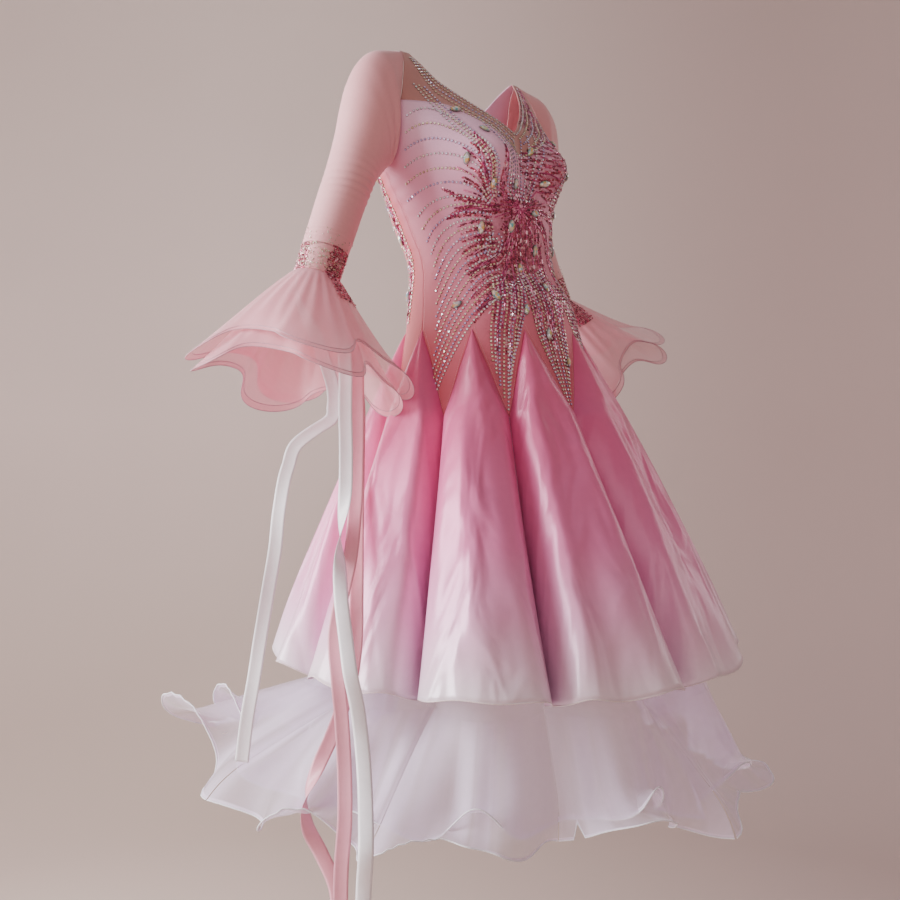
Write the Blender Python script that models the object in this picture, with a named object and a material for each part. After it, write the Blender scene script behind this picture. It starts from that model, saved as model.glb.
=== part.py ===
"""Ballroom dance dress in its worn, hollow form: mesh yoke, stretch body ending in points,
fitted sleeves with bell flounces and hanging streamers, ten satin godets and two layers of
tulle underskirt.

Metres, +Z up. The dress faces -Y and +X is the wearer's left. The origin lies on the shoulder
line, midway between the shoulders, at the height of the shoulder seams. Angles round the dress
are in degrees from the front, positive towards the wearer's left.
"""

import math

import bpy
import numpy as np

# Driving dimensions.
CLOTH = 0.0012  # wall of the stretch body, satin and mesh
SHEER = 0.0010  # wall of organza, tulle and ribbon
SEAM = 0.0003  # space left at a seam
HIP_Z = -0.470  # hip line, where the godets start
POINT_MID_Z = -0.535  # halfway down the body's points
POINT_TIP_Z = -0.615  # tips of the body's points
SIDE_SEAM = 94  # angle of the side seams
SECTION_POWER = 2.3  # 2 is an ellipse, more is squarer
NECK_X = 0.140  # inner edge of a strap on the shoulder
SHOULDER_X = 0.154  # outer edge of a strap, at the armhole
SHOULDER_Z = 0.005  # height of the shoulder seam
SKIRT_CENTRE_Y = -0.100  # the skirt's axis at the hem
GODET_LENGTH = 0.605  # cut length of a godet, apex to hem
VALLEY_RADIUS = 0.275  # hem radius at the seams between godets
TULLE_TOP_Z = -0.474  # where the underskirt is sewn inside the hip line
RIBBON_WIDTH = 0.022

# The body without its bust cups, by height.
BODY_COLUMNS = ("z", "half_width", "side_y", "front_y", "back_y")
BODY = [
    (0.012, 0.196, 0.010, 0.004, 0.018),
    (-0.020, 0.199, 0.011, -0.022, 0.042),
    (-0.050, 0.201, 0.013, -0.047, 0.062),
    (-0.085, 0.203, 0.015, -0.079, 0.078),
    (-0.120, 0.201, 0.017, -0.108, 0.089),
    (-0.155, 0.191, 0.019, -0.121, 0.096),
    (-0.190, 0.178, 0.018, -0.128, 0.101),
    (-0.220, 0.168, 0.010, -0.135, 0.104),
    (-0.250, 0.158, 0.000, -0.141, 0.104),
    (-0.280, 0.149, -0.010, -0.1425, 0.099),
    (-0.310, 0.144, -0.020, -0.143, 0.086),
    (-0.340, 0.141, -0.033, -0.143, 0.071),
    (-0.370, 0.143, -0.043, -0.151, 0.064),
    (-0.400, 0.150, -0.050, -0.172, 0.060),
    (-0.430, 0.158, -0.058, -0.186, 0.058),
    (-0.470, 0.168, -0.066, -0.195, 0.056),
]
BUST = {"x": 0.088, "z": -0.178, "depth": 0.043, "spread": 0.054, "above": 0.050, "below": 0.048}
RIDGE = {"y": 0.008, "fall": 33.0, "rounding": 0.026}

# Edges of the pieces of the body as (x, z), from the centre or the shoulder outwards.
NECKLINE = [(0.0, -0.124), (0.035, -0.099), (0.060, -0.083), (0.085, -0.065), (0.112, -0.043),
            (NECK_X, SHOULDER_Z)]
BACK_NECKLINE = [(0.0, -0.125), (0.040, -0.115), (0.080, -0.085), (0.112, -0.045), (NECK_X, SHOULDER_Z)]
YOKE_SEAM = [(0.0, -0.166), (0.045, -0.142), (0.080, -0.119), (0.104, -0.101), (0.132, -0.092),
             (0.191, -0.089)]
ARMHOLE_FRONT = [(SHOULDER_X, SHOULDER_Z), (0.177, -0.045), (0.191, -0.089), (0.1925, -0.125),
                 (0.187, -0.163), (0.1775, -0.190)]
ARMHOLE_BACK = [(SHOULDER_X, SHOULDER_Z), (0.170, -0.045), (0.178, -0.095), (0.181, -0.145),
                (0.1775, -0.190)]

# The godets, from centre back round by the wearer's right. seam_after is the seam that follows;
# lean turns a fold round the dress, in degrees at the hem; flute is the depth of the soft waves
# on it.
GODET_COLUMNS = ("apex", "seam_after", "lobe_radius", "lean", "flutes", "flute", "phase")
GODETS = [
    (-163, -146.5, 0.405, 1, 2.5, 0.10, 0.6),
    (-130, -112, 0.415, 2, 2.5, 0.12, 0.2),
    (-94, -75.5, 0.405, -1, 2.5, 0.12, 0.9),
    (-57, -38.5, 0.402, 1, 2.0, 0.08, 0.0),
    (-20, 0, 0.398, 2, 2.5, 0.10, 0.4),
    (20, 38.5, 0.405, 2, 2.5, 0.10, 0.4),
    (57, 75.5, 0.430, 1, 2.0, 0.08, 0.0),
    (94, 112, 0.405, 1, 2.5, 0.12, 0.6),
    (130, 146.5, 0.415, -2, 2.5, 0.12, 0.3),
    (163, 180, 0.405, -1, 2.5, 0.10, 0.9),
]

# One row for each crest and valley of the outer underskirt's hem, right half; the left half
# is mirrored.
TULLE_COLUMNS = ("angle", "radius", "z")
TULLE = [
    (0, 0.455, -1.245),
    (12, 0.385, -1.235),
    (24, 0.430, -1.230),
    (36, 0.375, -1.230),
    (50, 0.440, -1.245),
    (60, 0.415, -1.250),
    (72, 0.485, -1.250),
    (84, 0.440, -1.245),
    (96, 0.515, -1.235),
    (104, 0.505, -1.220),
    (113, 0.545, -1.200),
    (122, 0.515, -1.165),
    (132, 0.600, -1.135),
    (143, 0.520, -1.180),
    (155, 0.560, -1.215),
    (168, 0.480, -1.235),
    (180, 0.530, -1.240),
]

# The sleeves: each row is one ring, by its outer and inner points, its middle and its half
# depth; x is the distance from the centre. The left arm is held in and back by the last two.
SLEEVE_COLUMNS = ("outer_x", "outer_z", "inner_x", "inner_z", "middle_y", "half_depth",
                  "left_in", "left_back")
SLEEVE = [
    (0.216, -0.007, 0.1900, -0.1940, 0.015, 0.050, 0.000, 0.000),
    (0.242, -0.027, 0.1930, -0.1965, 0.014, 0.048, 0.000, 0.000),
    (0.262, -0.060, 0.1965, -0.2000, 0.014, 0.046, 0.001, 0.003),
    (0.275, -0.100, 0.2000, -0.2050, 0.015, 0.044, 0.004, 0.008),
    (0.285, -0.145, 0.2070, -0.2130, 0.017, 0.042, 0.009, 0.016),
    (0.300, -0.198, 0.2210, -0.2290, 0.020, 0.041, 0.015, 0.025),
    (0.319, -0.254, 0.2430, -0.2800, 0.025, 0.040, 0.019, 0.030),
    (0.335, -0.302, 0.2610, -0.3280, 0.029, 0.039, 0.016, 0.026),
    (0.346, -0.333, 0.2740, -0.3585, 0.031, 0.038, 0.012, 0.021),
]
CUFF = [
    (0.3463, -0.3337, 0.2743, -0.3592, 0.031, 0.038, 0.012, 0.021),
    (0.3625, -0.3765, 0.2925, -0.4010, 0.032, 0.037, 0.008, 0.016),
]

# Bell flounces: a cone from the cuff to a rippled hem round its own tilted axis. Hem centres
# are as on a right arm.
FLOUNCE_TOP = (-0.3275, 0.032, -0.389)
FLOUNCE_HEM = {"right": (-0.384, 0.007, -0.556), "left": (-0.420, 0.011, -0.527)}
FLOUNCE_TURN = {"right": 0.0, "left": 0.53}  # how far the waves are turned round the axis
FLOUNCE_COLUMNS = ("name", "top_inset", "start", "length", "radius", "waves", "swell", "drop",
                   "lean", "phase")
FLOUNCES = [
    ("upper", 0.0000, 0.0008, 0.150, 0.150, 4, 0.16, 0.020, 0.18, 2.4),
    ("lower", 0.0036, -0.0060, 0.178, 0.144, 4, 0.14, 0.018, 0.18, 1.6),
]

# Streamers of the right cuff: each one's finish, then the middle of the ribbon on its way down
# and the way its width runs in plan, in degrees.
STREAMER_COLUMNS = ("x", "y", "z", "turn")
STREAMERS = {
    "1": ("ribbon_white", [
        (-0.3522, 0.0472, -0.3801, -119),
        (-0.3599, 0.0438, -0.4026, -119),
        (-0.333, 0.014, -0.507, -40),
        (-0.320, -0.000, -0.596, -48),
        (-0.325, 0.003, -0.620, -48),
        (-0.347, 0.015, -0.636, -48),
        (-0.370, 0.029, -0.656, -48),
        (-0.385, 0.036, -0.693, -48),
        (-0.399, 0.042, -0.762, -60),
        (-0.406, 0.044, -0.824, -48),
        (-0.417, 0.047, -0.885, -40),
        (-0.430, 0.053, -0.966, -48),
        (-0.440, 0.056, -1.026, -55),
        (-0.451, 0.060, -1.089, -48),
        (-0.463, 0.059, -1.156, -48),
    ]),
    "2": ("ribbon_white", [
        (-0.3201, 0.0027, -0.3913, 16),
        (-0.3277, -0.0006, -0.4138, 16),
        (-0.322, -0.024, -0.492, -40),
        (-0.328, -0.036, -0.618, -48),
        (-0.339, -0.049, -0.679, -48),
        (-0.357, -0.066, -0.734, -60),
        (-0.374, -0.075, -0.788, -120),
        (-0.389, -0.088, -0.840, -190),
        (-0.410, -0.113, -0.888, -228),
        (-0.425, -0.139, -0.943, -228),
        (-0.438, -0.162, -0.989, -228),
        (-0.432, -0.169, -1.033, -222),
        (-0.427, -0.174, -1.089, -228),
        (-0.449, -0.204, -1.154, -228),
        (-0.495, -0.253, -1.205, -228),
        (-0.497, -0.250, -1.272, -228),
        (-0.501, -0.253, -1.395, -228),
    ]),
    "3": ("ribbon_pink", [
        (-0.3028, 0.0169, -0.3974, -119),
        (-0.3104, 0.0135, -0.4199, -119),
        (-0.299, -0.030, -0.523, -50),
        (-0.300, -0.034, -0.589, -48),
        (-0.301, -0.034, -0.681, -48),
        (-0.337, -0.067, -0.760, -48),
        (-0.369, -0.089, -0.834, -44),
        (-0.391, -0.093, -0.892, -48),
        (-0.412, -0.101, -0.949, -52),
        (-0.434, -0.131, -1.001, -48),
        (-0.436, -0.141, -1.058, -48),
        (-0.441, -0.152, -1.128, -48),
        (-0.458, -0.171, -1.193, -48),
        (-0.471, -0.177, -1.266, -50),
        (-0.475, -0.180, -1.385, -50),
    ]),
    "4": ("ribbon_pink", [
        (-0.2999, 0.0398, -0.3984, -76),
        (-0.3075, 0.0365, -0.4209, -76),
        (-0.292, -0.013, -0.523, -60),
        (-0.288, -0.023, -0.589, -48),
        (-0.288, -0.023, -0.681, -48),
        (-0.320, -0.054, -0.762, -48),
        (-0.348, -0.082, -0.836, -50),
        (-0.366, -0.100, -0.894, -48),
        (-0.384, -0.117, -0.951, -46),
        (-0.401, -0.126, -1.000, -42),
        (-0.409, -0.117, -1.045, -48),
        (-0.422, -0.103, -1.097, -48),
        (-0.438, -0.089, -1.144, -64),
        (-0.463, -0.095, -1.179, -130),
        (-0.476, -0.110, -1.214, -190),
        (-0.463, -0.125, -1.257, -225),
        (-0.451, -0.142, -1.303, -228),
        (-0.455, -0.145, -1.400, -228),
    ]),
}


def column(table, columns, name):
    """One named column of a table."""
    return np.array([row[columns.index(name)] for row in table], float)


def smooth(at, knots, values):
    """A smooth curve through values at knots, which rise; held level past both ends."""
    at = np.clip(at, knots[0], knots[-1])
    slopes = np.gradient(values, knots)
    i = np.clip(np.searchsorted(knots, at) - 1, 0, len(knots) - 2)
    step = knots[i + 1] - knots[i]
    t = (at - knots[i]) / step
    return (
        (2 * t**3 - 3 * t**2 + 1) * values[i]
        + (t**3 - 2 * t**2 + t) * step * slopes[i]
        + (3 * t**2 - 2 * t**3) * values[i + 1]
        + (t**3 - t**2) * step * slopes[i + 1]
    )


def along(points, shares):
    """Points of a polyline at shares of its length."""
    points = np.array(points, float)
    lengths = np.concatenate([[0], np.cumsum(np.linalg.norm(np.diff(points, axis=0), axis=1))])
    marks = np.array(shares) * lengths[-1]
    return np.stack([np.interp(marks, lengths, axis) for axis in points.T], axis=1)


def section(name, z):
    """A column of the body's table at height z."""
    return smooth(z, column(BODY, BODY_COLUMNS, "z")[::-1], column(BODY, BODY_COLUMNS, name)[::-1])


def ridge_height(x):
    """The shoulder line: level across the strap, then falling away over the arm."""
    return SHOULDER_Z - RIDGE["fall"] * max(0.0, abs(x) - SHOULDER_X) ** 2


def body_point(angle, z):
    """The body's surface: a squared ellipse, two cups, and the roll over the shoulder line."""
    turn = math.radians(angle)
    power = 2 / SECTION_POWER
    x = section("half_width", z) * math.copysign(abs(math.sin(turn)) ** power, math.sin(turn))
    side = section("side_y", z)
    front = math.cos(turn) > 0
    end = section("front_y" if front else "back_y", z)
    y = side + (end - side) * abs(math.cos(turn)) ** power
    if front:
        spread = BUST["above"] if z > BUST["z"] else BUST["below"]
        cup = ((abs(x) - BUST["x"]) / BUST["spread"]) ** 2 + ((z - BUST["z"]) / spread) ** 2
        y -= BUST["depth"] * math.exp(-cup) * min(1.0, abs(math.cos(turn)) * 2)
    down = min(1.0, max(0.0, (ridge_height(x) - z) / RIDGE["rounding"]))
    y = RIDGE["y"] + (y - RIDGE["y"]) * math.sqrt(2 * down - down * down)
    return np.array([x, y, z])


def angle_at(x, z, back=False):
    """The angle at which the body's surface has this x."""
    share = min(1.0, abs(x) / section("half_width", z)) ** (SECTION_POWER / 2)
    turn = math.copysign(math.degrees(math.asin(share)), x)
    return math.copysign(180, x) - turn if back else turn


def hem_drop(out):
    """How far down a godet's cut length reaches when its hem lies this far out."""
    return math.sqrt(GODET_LENGTH**2 - out**2)


VALLEY_DROP = hem_drop(0.135)


def cone_plan(angle, share):
    """The plan of the skirt's valleys: straight lines from the hip line out to the hem."""
    turn = math.radians(angle)
    hip = body_point(angle, HIP_Z)[:2]
    hem = np.array([math.sin(turn), -math.cos(turn)]) * VALLEY_RADIUS + (0, SKIRT_CENTRE_Y)
    return hip + (hem - hip) * share


def cone_point(angle, z):
    return np.array([*cone_plan(angle, (HIP_Z - z) / VALLEY_DROP), z])


def surface_point(angle, z):
    return body_point(angle, z) if z >= HIP_Z else cone_point(angle, z)


def surface_normal(angle, z):
    """Outward, by small steps across and down, so that pieces that meet share it."""
    across = surface_point(angle + 0.5, z) - surface_point(angle - 0.5, z)
    down = surface_point(angle, z - 0.0005) - surface_point(angle, z)
    out = np.cross(down, across)
    return out / np.linalg.norm(out)


def grid(rows, columns, wrapped=False):
    """Triangles of a grid whose rows run down and whose columns run anticlockwise from above."""
    faces = []
    for r in range(rows - 1):
        for c in range(columns if wrapped else columns - 1):
            a, e = r * columns + c, r * columns + (c + 1) % columns
            b, d = a + columns, e + columns
            faces += [(a, b, d), (a, d, e)]
    return faces


def edges_of(faces):
    """Edges with a face on one side only, each running the way its face does."""
    every = {(f[i], f[(i + 1) % 3]) for f in faces for i in range(3)}
    return [(a, b) for a, b in every if (b, a) not in every]


def face_normals(points, faces):
    """The mean normal at each point."""
    normals = np.zeros_like(points)
    for a, b, c in faces:
        out = np.cross(points[b] - points[a], points[c] - points[a])
        for i in (a, b, c):
            normals[i] += out
    return normals / np.linalg.norm(normals, axis=1)[:, None]


def drawn_in(points, faces, normals, gap):
    """Edge points moved into their piece by the gap, mitred at corners."""
    inward = {}
    for a, b in edges_of(faces):
        for i in (a, b):
            way = np.cross(normals[i], points[b] - points[a])
            inward.setdefault(i, []).append(way / np.linalg.norm(way))
    moved = points.copy()
    for i, ways in inward.items():
        mitre = max(0.4, 1 + ways[0] @ ways[-1])
        moved[i] += gap * (ways[0] + ways[-1]) / mitre
    return moved


MATERIALS = {}  # made so far, by name


def material(name, colour, roughness):
    if name not in MATERIALS:
        made = bpy.data.materials.new(name)
        made.use_nodes = True
        shader = made.node_tree.nodes["Principled BSDF"]
        shader.inputs["Base Color"].default_value = (*colour, 1)
        shader.inputs["Roughness"].default_value = roughness
        shader.inputs["Metallic"].default_value = 0.0
        made.diffuse_color = (*colour, 1)
        MATERIALS[name] = made
    return MATERIALS[name]


FINISHES = {
    "mesh_tan": ((0.62, 0.33, 0.30), 0.7),
    "lycra_pink": ((0.80, 0.36, 0.40), 0.55),
    "mesh_pink": ((0.82, 0.45, 0.48), 0.65),
    "sequins": ((0.55, 0.08, 0.14), 0.3),
    "organza_pink": ((0.88, 0.55, 0.58), 0.5),
    "satin_ombre": ((0.86, 0.45, 0.62), 0.3),
    "tulle_white": ((0.90, 0.88, 0.90), 0.8),
    "ribbon_white": ((0.88, 0.88, 0.92), 0.35),
    "ribbon_pink": ((0.88, 0.42, 0.52), 0.35),
}


def wall(name, points, faces, thickness, finish, normals=None, gap=0.0, mirrored=False):
    """A closed wall of cloth, half its thickness to each side of the surface."""
    points = np.array(points, float)
    if mirrored:
        points = points * (-1, 1, 1)
        faces = [(a, c, b) for a, b, c in faces]
        normals = None if normals is None else np.array(normals) * (-1, 1, 1)
    normals = face_normals(points, faces) if normals is None else np.array(normals)
    points = drawn_in(points, faces, normals, gap)
    count = len(points)
    skins = np.concatenate([points + normals * thickness / 2, points - normals * thickness / 2])
    shell = [tuple(f) for f in faces] + [(c + count, b + count, a + count) for a, b, c in faces]
    for a, b in edges_of(faces):
        shell += [(b, a, a + count), (b, a + count, b + count)]
    mesh = bpy.data.meshes.new(name)
    mesh.from_pydata(skins.tolist(), [], shell)
    mesh.materials.append(material(finish, *FINISHES[finish]))
    made = bpy.data.objects.new(name, mesh)
    bpy.context.scene.collection.objects.link(made)
    mesh.shade_smooth()
    mesh.set_sharp_from_angle(angle=math.radians(50))
    return made


# The body: columns run from the side seams between the points; four columns to a point.
APEXES = [row[0] for row in GODETS]
SEAMS = [-180] + [row[1] for row in GODETS]
BODY_ROWS = (-0.215, -0.245, -0.275, -0.306, -0.338, -0.370, -0.402, -0.436, HIP_Z)
TOP_STEPS = 4
YOKE_COLUMNS, ARMHOLE_COLUMNS_FRONT, ARMHOLE_COLUMNS_BACK = 7, 3, 6
YOKE_ACROSS = 3


def point_columns():
    """The angles of the body's columns all round, with what each one ends at."""
    found = [(SEAMS[0], "tip")]
    for (apex, *_), before, after in zip(GODETS, SEAMS, SEAMS[1:]):
        found += [((before + apex) / 2, "mid"), (apex, "apex")]
        found += [((apex + after) / 2, "mid"), (after, "tip")]
    return found


def front_curve(rows):
    return [(angle_at(x, z), z) for x, z in rows]


def back_curve(rows):
    return [(angle_at(x, z, back=True), z) for x, z in rows]


def evenly(curve, count, back=False):
    """(angle, z) at equal distances on the surface along a curve of (angle, z)."""
    fine = np.array(along(curve, np.linspace(0, 1, 60)))
    places = np.array([body_point(a, z) for a, z in fine])
    lengths = np.concatenate([[0], np.cumsum(np.linalg.norm(np.diff(places, axis=0), axis=1))])
    marks = np.linspace(0, lengths[-1], count + 1)
    return [(np.interp(m, lengths, fine[:, 0]), np.interp(m, lengths, fine[:, 1])) for m in marks]


ARMPIT = (SIDE_SEAM, ARMHOLE_FRONT[-1][1])
YOKE_EDGE = evenly(front_curve(YOKE_SEAM), YOKE_COLUMNS)
ARMHOLE_UPPER = evenly(front_curve(ARMHOLE_FRONT[:3]), 3)[::-1]
ARMHOLE_LOWER = evenly(front_curve(ARMHOLE_FRONT[2:-1]) + [ARMPIT], ARMHOLE_COLUMNS_FRONT)
ARMHOLE_REAR = evenly([ARMPIT] + back_curve(ARMHOLE_BACK[:-1])[::-1], ARMHOLE_COLUMNS_BACK)
BACK_TOP = ARMHOLE_REAR + evenly(back_curve(BACK_NECKLINE[::-1]), 3)


def body_piece(name, columns, tops):
    """A piece of the body from its top edge down to its points."""
    places = []
    for (angle, _), (top_angle, top_z) in zip(columns, tops):
        for step in range(TOP_STEPS):
            share = step / TOP_STEPS
            z = top_z + (BODY_ROWS[0] - top_z) * share
            places.append((top_angle + (angle - top_angle) * share, z))
        places += [(angle, z) for z in BODY_ROWS]
    across, down = len(columns), TOP_STEPS + len(BODY_ROWS)
    places = [places[c * down + r] for r in range(down) for c in range(across)]
    faces = grid(down, across)
    hip = (down - 1) * across
    ends = {"mid": POINT_MID_Z, "tip": POINT_TIP_Z}
    lower = {}
    for c, (angle, kind) in enumerate(columns):
        if kind != "apex":
            lower[c, POINT_MID_Z] = len(places)
            places.append((angle, POINT_MID_Z))
        if kind == "tip":
            lower[c, POINT_TIP_Z] = len(places)
            places.append((angle, ends[kind]))
    for c in range(across - 1):
        left, right = columns[c][1], columns[c + 1][1]
        if left == "apex":
            faces.append((hip + c, lower[c + 1, POINT_MID_Z], hip + c + 1))
        elif right == "apex":
            faces.append((hip + c, lower[c, POINT_MID_Z], hip + c + 1))
        else:
            a, b = lower[c, POINT_MID_Z], lower[c + 1, POINT_MID_Z]
            faces += [(hip + c, a, b), (hip + c, b, hip + c + 1)]
            tip = lower.get((c, POINT_TIP_Z)) if left == "tip" else lower[c + 1, POINT_TIP_Z]
            faces.append((a, tip, b))
    points = [surface_point(a, z) for a, z in places]
    normals = [surface_normal(a, z) for a, z in places]
    wall(name, points, faces, CLOTH, "lycra_pink", normals=normals, gap=SEAM / 2)


def make_body():
    columns = point_columns()
    front = [c for c in columns if abs(c[0]) <= SIDE_SEAM]
    tops = YOKE_EDGE + ARMHOLE_LOWER[1:]
    body_piece("bodice_front", front, [(-a, z) for a, z in tops[:0:-1]] + tops)
    left = [c for c in columns if c[0] >= SIDE_SEAM]
    body_piece("bodice_back_left", left, BACK_TOP)
    right = [c for c in columns if c[0] <= -SIDE_SEAM]
    body_piece("bodice_back_right", right, [(-a, z) for a, z in BACK_TOP[::-1]])


def make_yoke():
    """A strip from one shoulder seam to the other, neckline above and bust seam below."""
    inner = evenly(front_curve(NECKLINE), YOKE_COLUMNS + 3)
    outer = YOKE_EDGE + ARMHOLE_UPPER[1:]
    half = [[(i[0] + (o[0] - i[0]) * s, i[1] + (o[1] - i[1]) * s) for i, o in zip(inner, outer)]
            for s in np.linspace(0, 1, YOKE_ACROSS + 1)]
    rows = [[(-a, z) for a, z in row[:0:-1]] + row for row in half]
    places = [place for row in rows for place in row]
    points = [surface_point(a, z) for a, z in places]
    normals = [surface_normal(a, z) for a, z in places]
    faces = grid(len(rows), len(rows[0]))
    wall("yoke_front", points, faces, CLOTH, "mesh_tan", normals=normals, gap=SEAM)


# Sleeves and cuffs: rings of twelve points, from the outer side by the front to the inner side.
RING = 12


def across_to(axis, way):
    """The unit vector nearest to a way, square to an axis."""
    square = np.array(way, float) - axis * (axis @ np.array(way, float))
    return square / np.linalg.norm(square)


def ring_frame(row, side):
    """Middle and outward half width of one ring, both as on a right arm."""
    outer_x, outer_z, inner_x, inner_z, middle_y, _, left_in, left_back = row
    held = (left_in, left_back) if side == "left" else (0, 0)
    middle = np.array([held[0] - (outer_x + inner_x) / 2, middle_y + held[1], (outer_z + inner_z) / 2])
    return middle, np.array([-(outer_x - inner_x) / 2, 0, (outer_z - inner_z) / 2])


def ring(row, side, count=RING):
    middle, reach = ring_frame(row, side)
    depth = row[SLEEVE_COLUMNS.index("half_depth")]
    turns = np.linspace(0, 2 * math.pi, count, endpoint=False)
    return [middle + reach * math.cos(t) + np.array([0, -depth * math.sin(t), 0]) for t in turns]


def armhole_ring():
    """The right armhole's points, moved off the body by a seam."""
    front = ARMHOLE_UPPER[::-1][:-1] + ARMHOLE_LOWER
    rear = ARMHOLE_REAR[1:-1]
    off = np.array([-(CLOTH / 2 + 2 * SEAM), 0, 0])
    return [body_point(-a, z) + off for a, z in front] + [body_point(-a, z) + off for a, z in rear]


def make_sleeve(side, mirrored):
    upper = [armhole_ring()] + [ring(row, side) for row in SLEEVE]
    lower = [ring(row, side) for row in CUFF]
    for name, rings, finish in (("sleeve", upper, "mesh_pink"), ("cuff", lower, "sequins")):
        points = [p for one in rings for p in one]
        faces = grid(len(rings), RING, wrapped=True)
        wall(f"{name}_{side}", points, faces, CLOTH, finish, mirrored=mirrored)


# Flounces.
FLOUNCE_STEPS = (0, 0.042, 0.22, 0.48, 0.75, 1)
FLOUNCE_RING = 36


def flounce_point(row, side, turn, share):
    """A flounce, as on a right arm, at an angle round its axis and a share of its way down."""
    _, inset, start, length, radius, waves, swell, drop, lean, phase = row
    cuff_middle, cuff_out = ring_frame(CUFF[-1], side)
    cuff_radius = np.linalg.norm(cuff_out)
    cuff_out = cuff_out / cuff_radius
    cuff_down = np.array([-cuff_out[2], 0, cuff_out[0]])
    down = np.array(FLOUNCE_HEM[side]) - FLOUNCE_TOP
    down /= np.linalg.norm(down)
    out = cuff_out * (1 - share) + across_to(down, (-1, 0, 0)) * share
    out /= np.linalg.norm(out)
    front = across_to(down * share, (0, -1, 0))
    wave = share**2
    angle = waves * turn + phase + FLOUNCE_TURN[side]
    spun = turn + lean * math.sin(2 * angle) * wave
    level = start + (length - start) * share
    flare = max(0.0, level / length) ** 1.1
    reach = (cuff_radius - inset) + (radius - cuff_radius + inset) * flare
    reach *= 1 + swell * math.cos(angle) * wave
    level += drop * math.cos(angle) * wave
    middle = cuff_middle + (cuff_down if level < 0 else down) * level
    return middle + reach * (math.cos(spun) * out + math.sin(spun) * front)


def make_flounces(side, mirrored):
    turns = np.linspace(0, 2 * math.pi, FLOUNCE_RING, endpoint=False)
    for row in FLOUNCES:
        points = [flounce_point(row, side, t, s) for s in FLOUNCE_STEPS for t in turns]
        faces = grid(len(FLOUNCE_STEPS), FLOUNCE_RING, wrapped=True)
        wall(f"flounce_{row[0]}_{side}", points, faces, SHEER, "organza_pink", mirrored=mirrored)


# Godets: rows of points down from the apex, level with the bends in the sides of the points.
MID_SHARE = (HIP_Z - POINT_MID_Z) / VALLEY_DROP
TIP_SHARE = (HIP_Z - POINT_TIP_Z) / VALLEY_DROP
GODET_ROWS = (MID_SHARE / 2, MID_SHARE, TIP_SHARE, 0.40, 0.56, 0.72, 0.87, 1)
GODET_ACROSS = (-1, -0.9, -0.72, -0.5, -0.25, 0, 0.25, 0.5, 0.72, 0.9, 1)
GODET_GAP = 0.0008  # from a seam's line to the middle of the satin, which turns outwards there
LOBE_POWER = 3
OVERHANG = 0.25


def godet_edge(apex, seam, share):
    """The line that a godet shares with its neighbour, straight between the points' bends."""
    z = HIP_Z - share * VALLEY_DROP
    turns = ((apex, HIP_Z), ((apex + seam) / 2, POINT_MID_Z), (seam, POINT_TIP_Z))
    bends = [cone_point(*turn) for turn in turns]
    if z <= POINT_TIP_Z:
        return cone_point(seam, z)
    heights = [-b[2] for b in bends]
    return np.array([np.interp(-z, heights, [b[i] for b in bends]) for i in range(3)])


def lobe_shape(across, row):
    """How far out a godet's folds stand, from 0 at its seams to 1."""
    _, _, _, _, flutes, flute, phase = row
    ripple = 0.5 - 0.5 * math.cos(math.pi * flutes * (across + 1) + 2 * math.pi * phase)
    return (1 - abs(across) ** LOBE_POWER) * (1 - flute * ripple)


def godet_point(row, before, across, share):
    apex, after, lobe_radius, lean = row[:4]
    seam = after if across > 0 else before
    edge = godet_edge(apex, seam, share)
    open_to = np.interp(share, (0, MID_SHARE, TIP_SHARE), (0, 0.5, 1))
    gap_angle = math.degrees(GODET_GAP / math.hypot(edge[0], edge[1] - SKIRT_CENTRE_Y * share))
    half = abs(seam - apex) * open_to
    swing = abs(across) + OVERHANG * math.sin(math.pi * abs(across)) * share
    angle = apex + math.copysign(swing * (half - gap_angle), across)
    angle += lean * share**2 * (1 - abs(across) ** 2)
    base = cone_plan(angle, share)
    if abs(across) == 1:
        turn = math.radians(gap_angle) * math.copysign(1, across)
        offset = edge[:2] - (0, SKIRT_CENTRE_Y * share)
        spin = np.array([[math.cos(turn), math.sin(turn)], [-math.sin(turn), math.cos(turn)]])
        base = spin @ offset + (0, SKIRT_CENTRE_Y * share)
    shape = lobe_shape(across, row)
    out = (lobe_radius - VALLEY_RADIUS) * shape * share**0.85
    turn = math.radians(angle)
    plan = base + out * np.array([math.sin(turn), -math.cos(turn)])
    hem_out = VALLEY_RADIUS + (lobe_radius - VALLEY_RADIUS) * shape
    drop = hem_drop(min(0.3, 0.135 + (hem_out - VALLEY_RADIUS) * 1.0))
    return np.array([*plan, HIP_Z - drop * share])


def make_godets():
    for number, (row, before) in enumerate(zip(GODETS, SEAMS), start=1):
        apex = cone_point(row[0], HIP_Z - 0.003)
        points = [apex] + [godet_point(row, before, u, s) for s in GODET_ROWS for u in GODET_ACROSS]
        columns = len(GODET_ACROSS)
        faces = [(a + 1, b + 1, c + 1) for a, b, c in grid(len(GODET_ROWS), columns)]
        faces += [(0, c + 1, c + 2) for c in range(columns - 1)]
        wall(f"godet_{number:02d}", points, faces, CLOTH, "satin_ombre")


# Underskirt.
TULLE_UPPER = (0, TIP_SHARE, 0.60, 1.012)  # rows under the satin, as shares of its valleys' depth
TULLE_LOWER = (0.36, 0.70, 1)  # rows from the satin's hem to the tulle's
TULLE_ACROSS = 8
TULLE_INSET = 0.0020  # from the body's surface to the tulle's at the hip line
INNER_PANELS = ((0, 2), (2, 4), (4, 6), (6, 8), (8, 10))  # each inner panel spans two seams


def tulle_hem(name, angle):
    around = abs((angle + 180) % 360 - 180)
    return smooth(around, column(TULLE, TULLE_COLUMNS, "angle"), column(TULLE, TULLE_COLUMNS, name))


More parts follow.
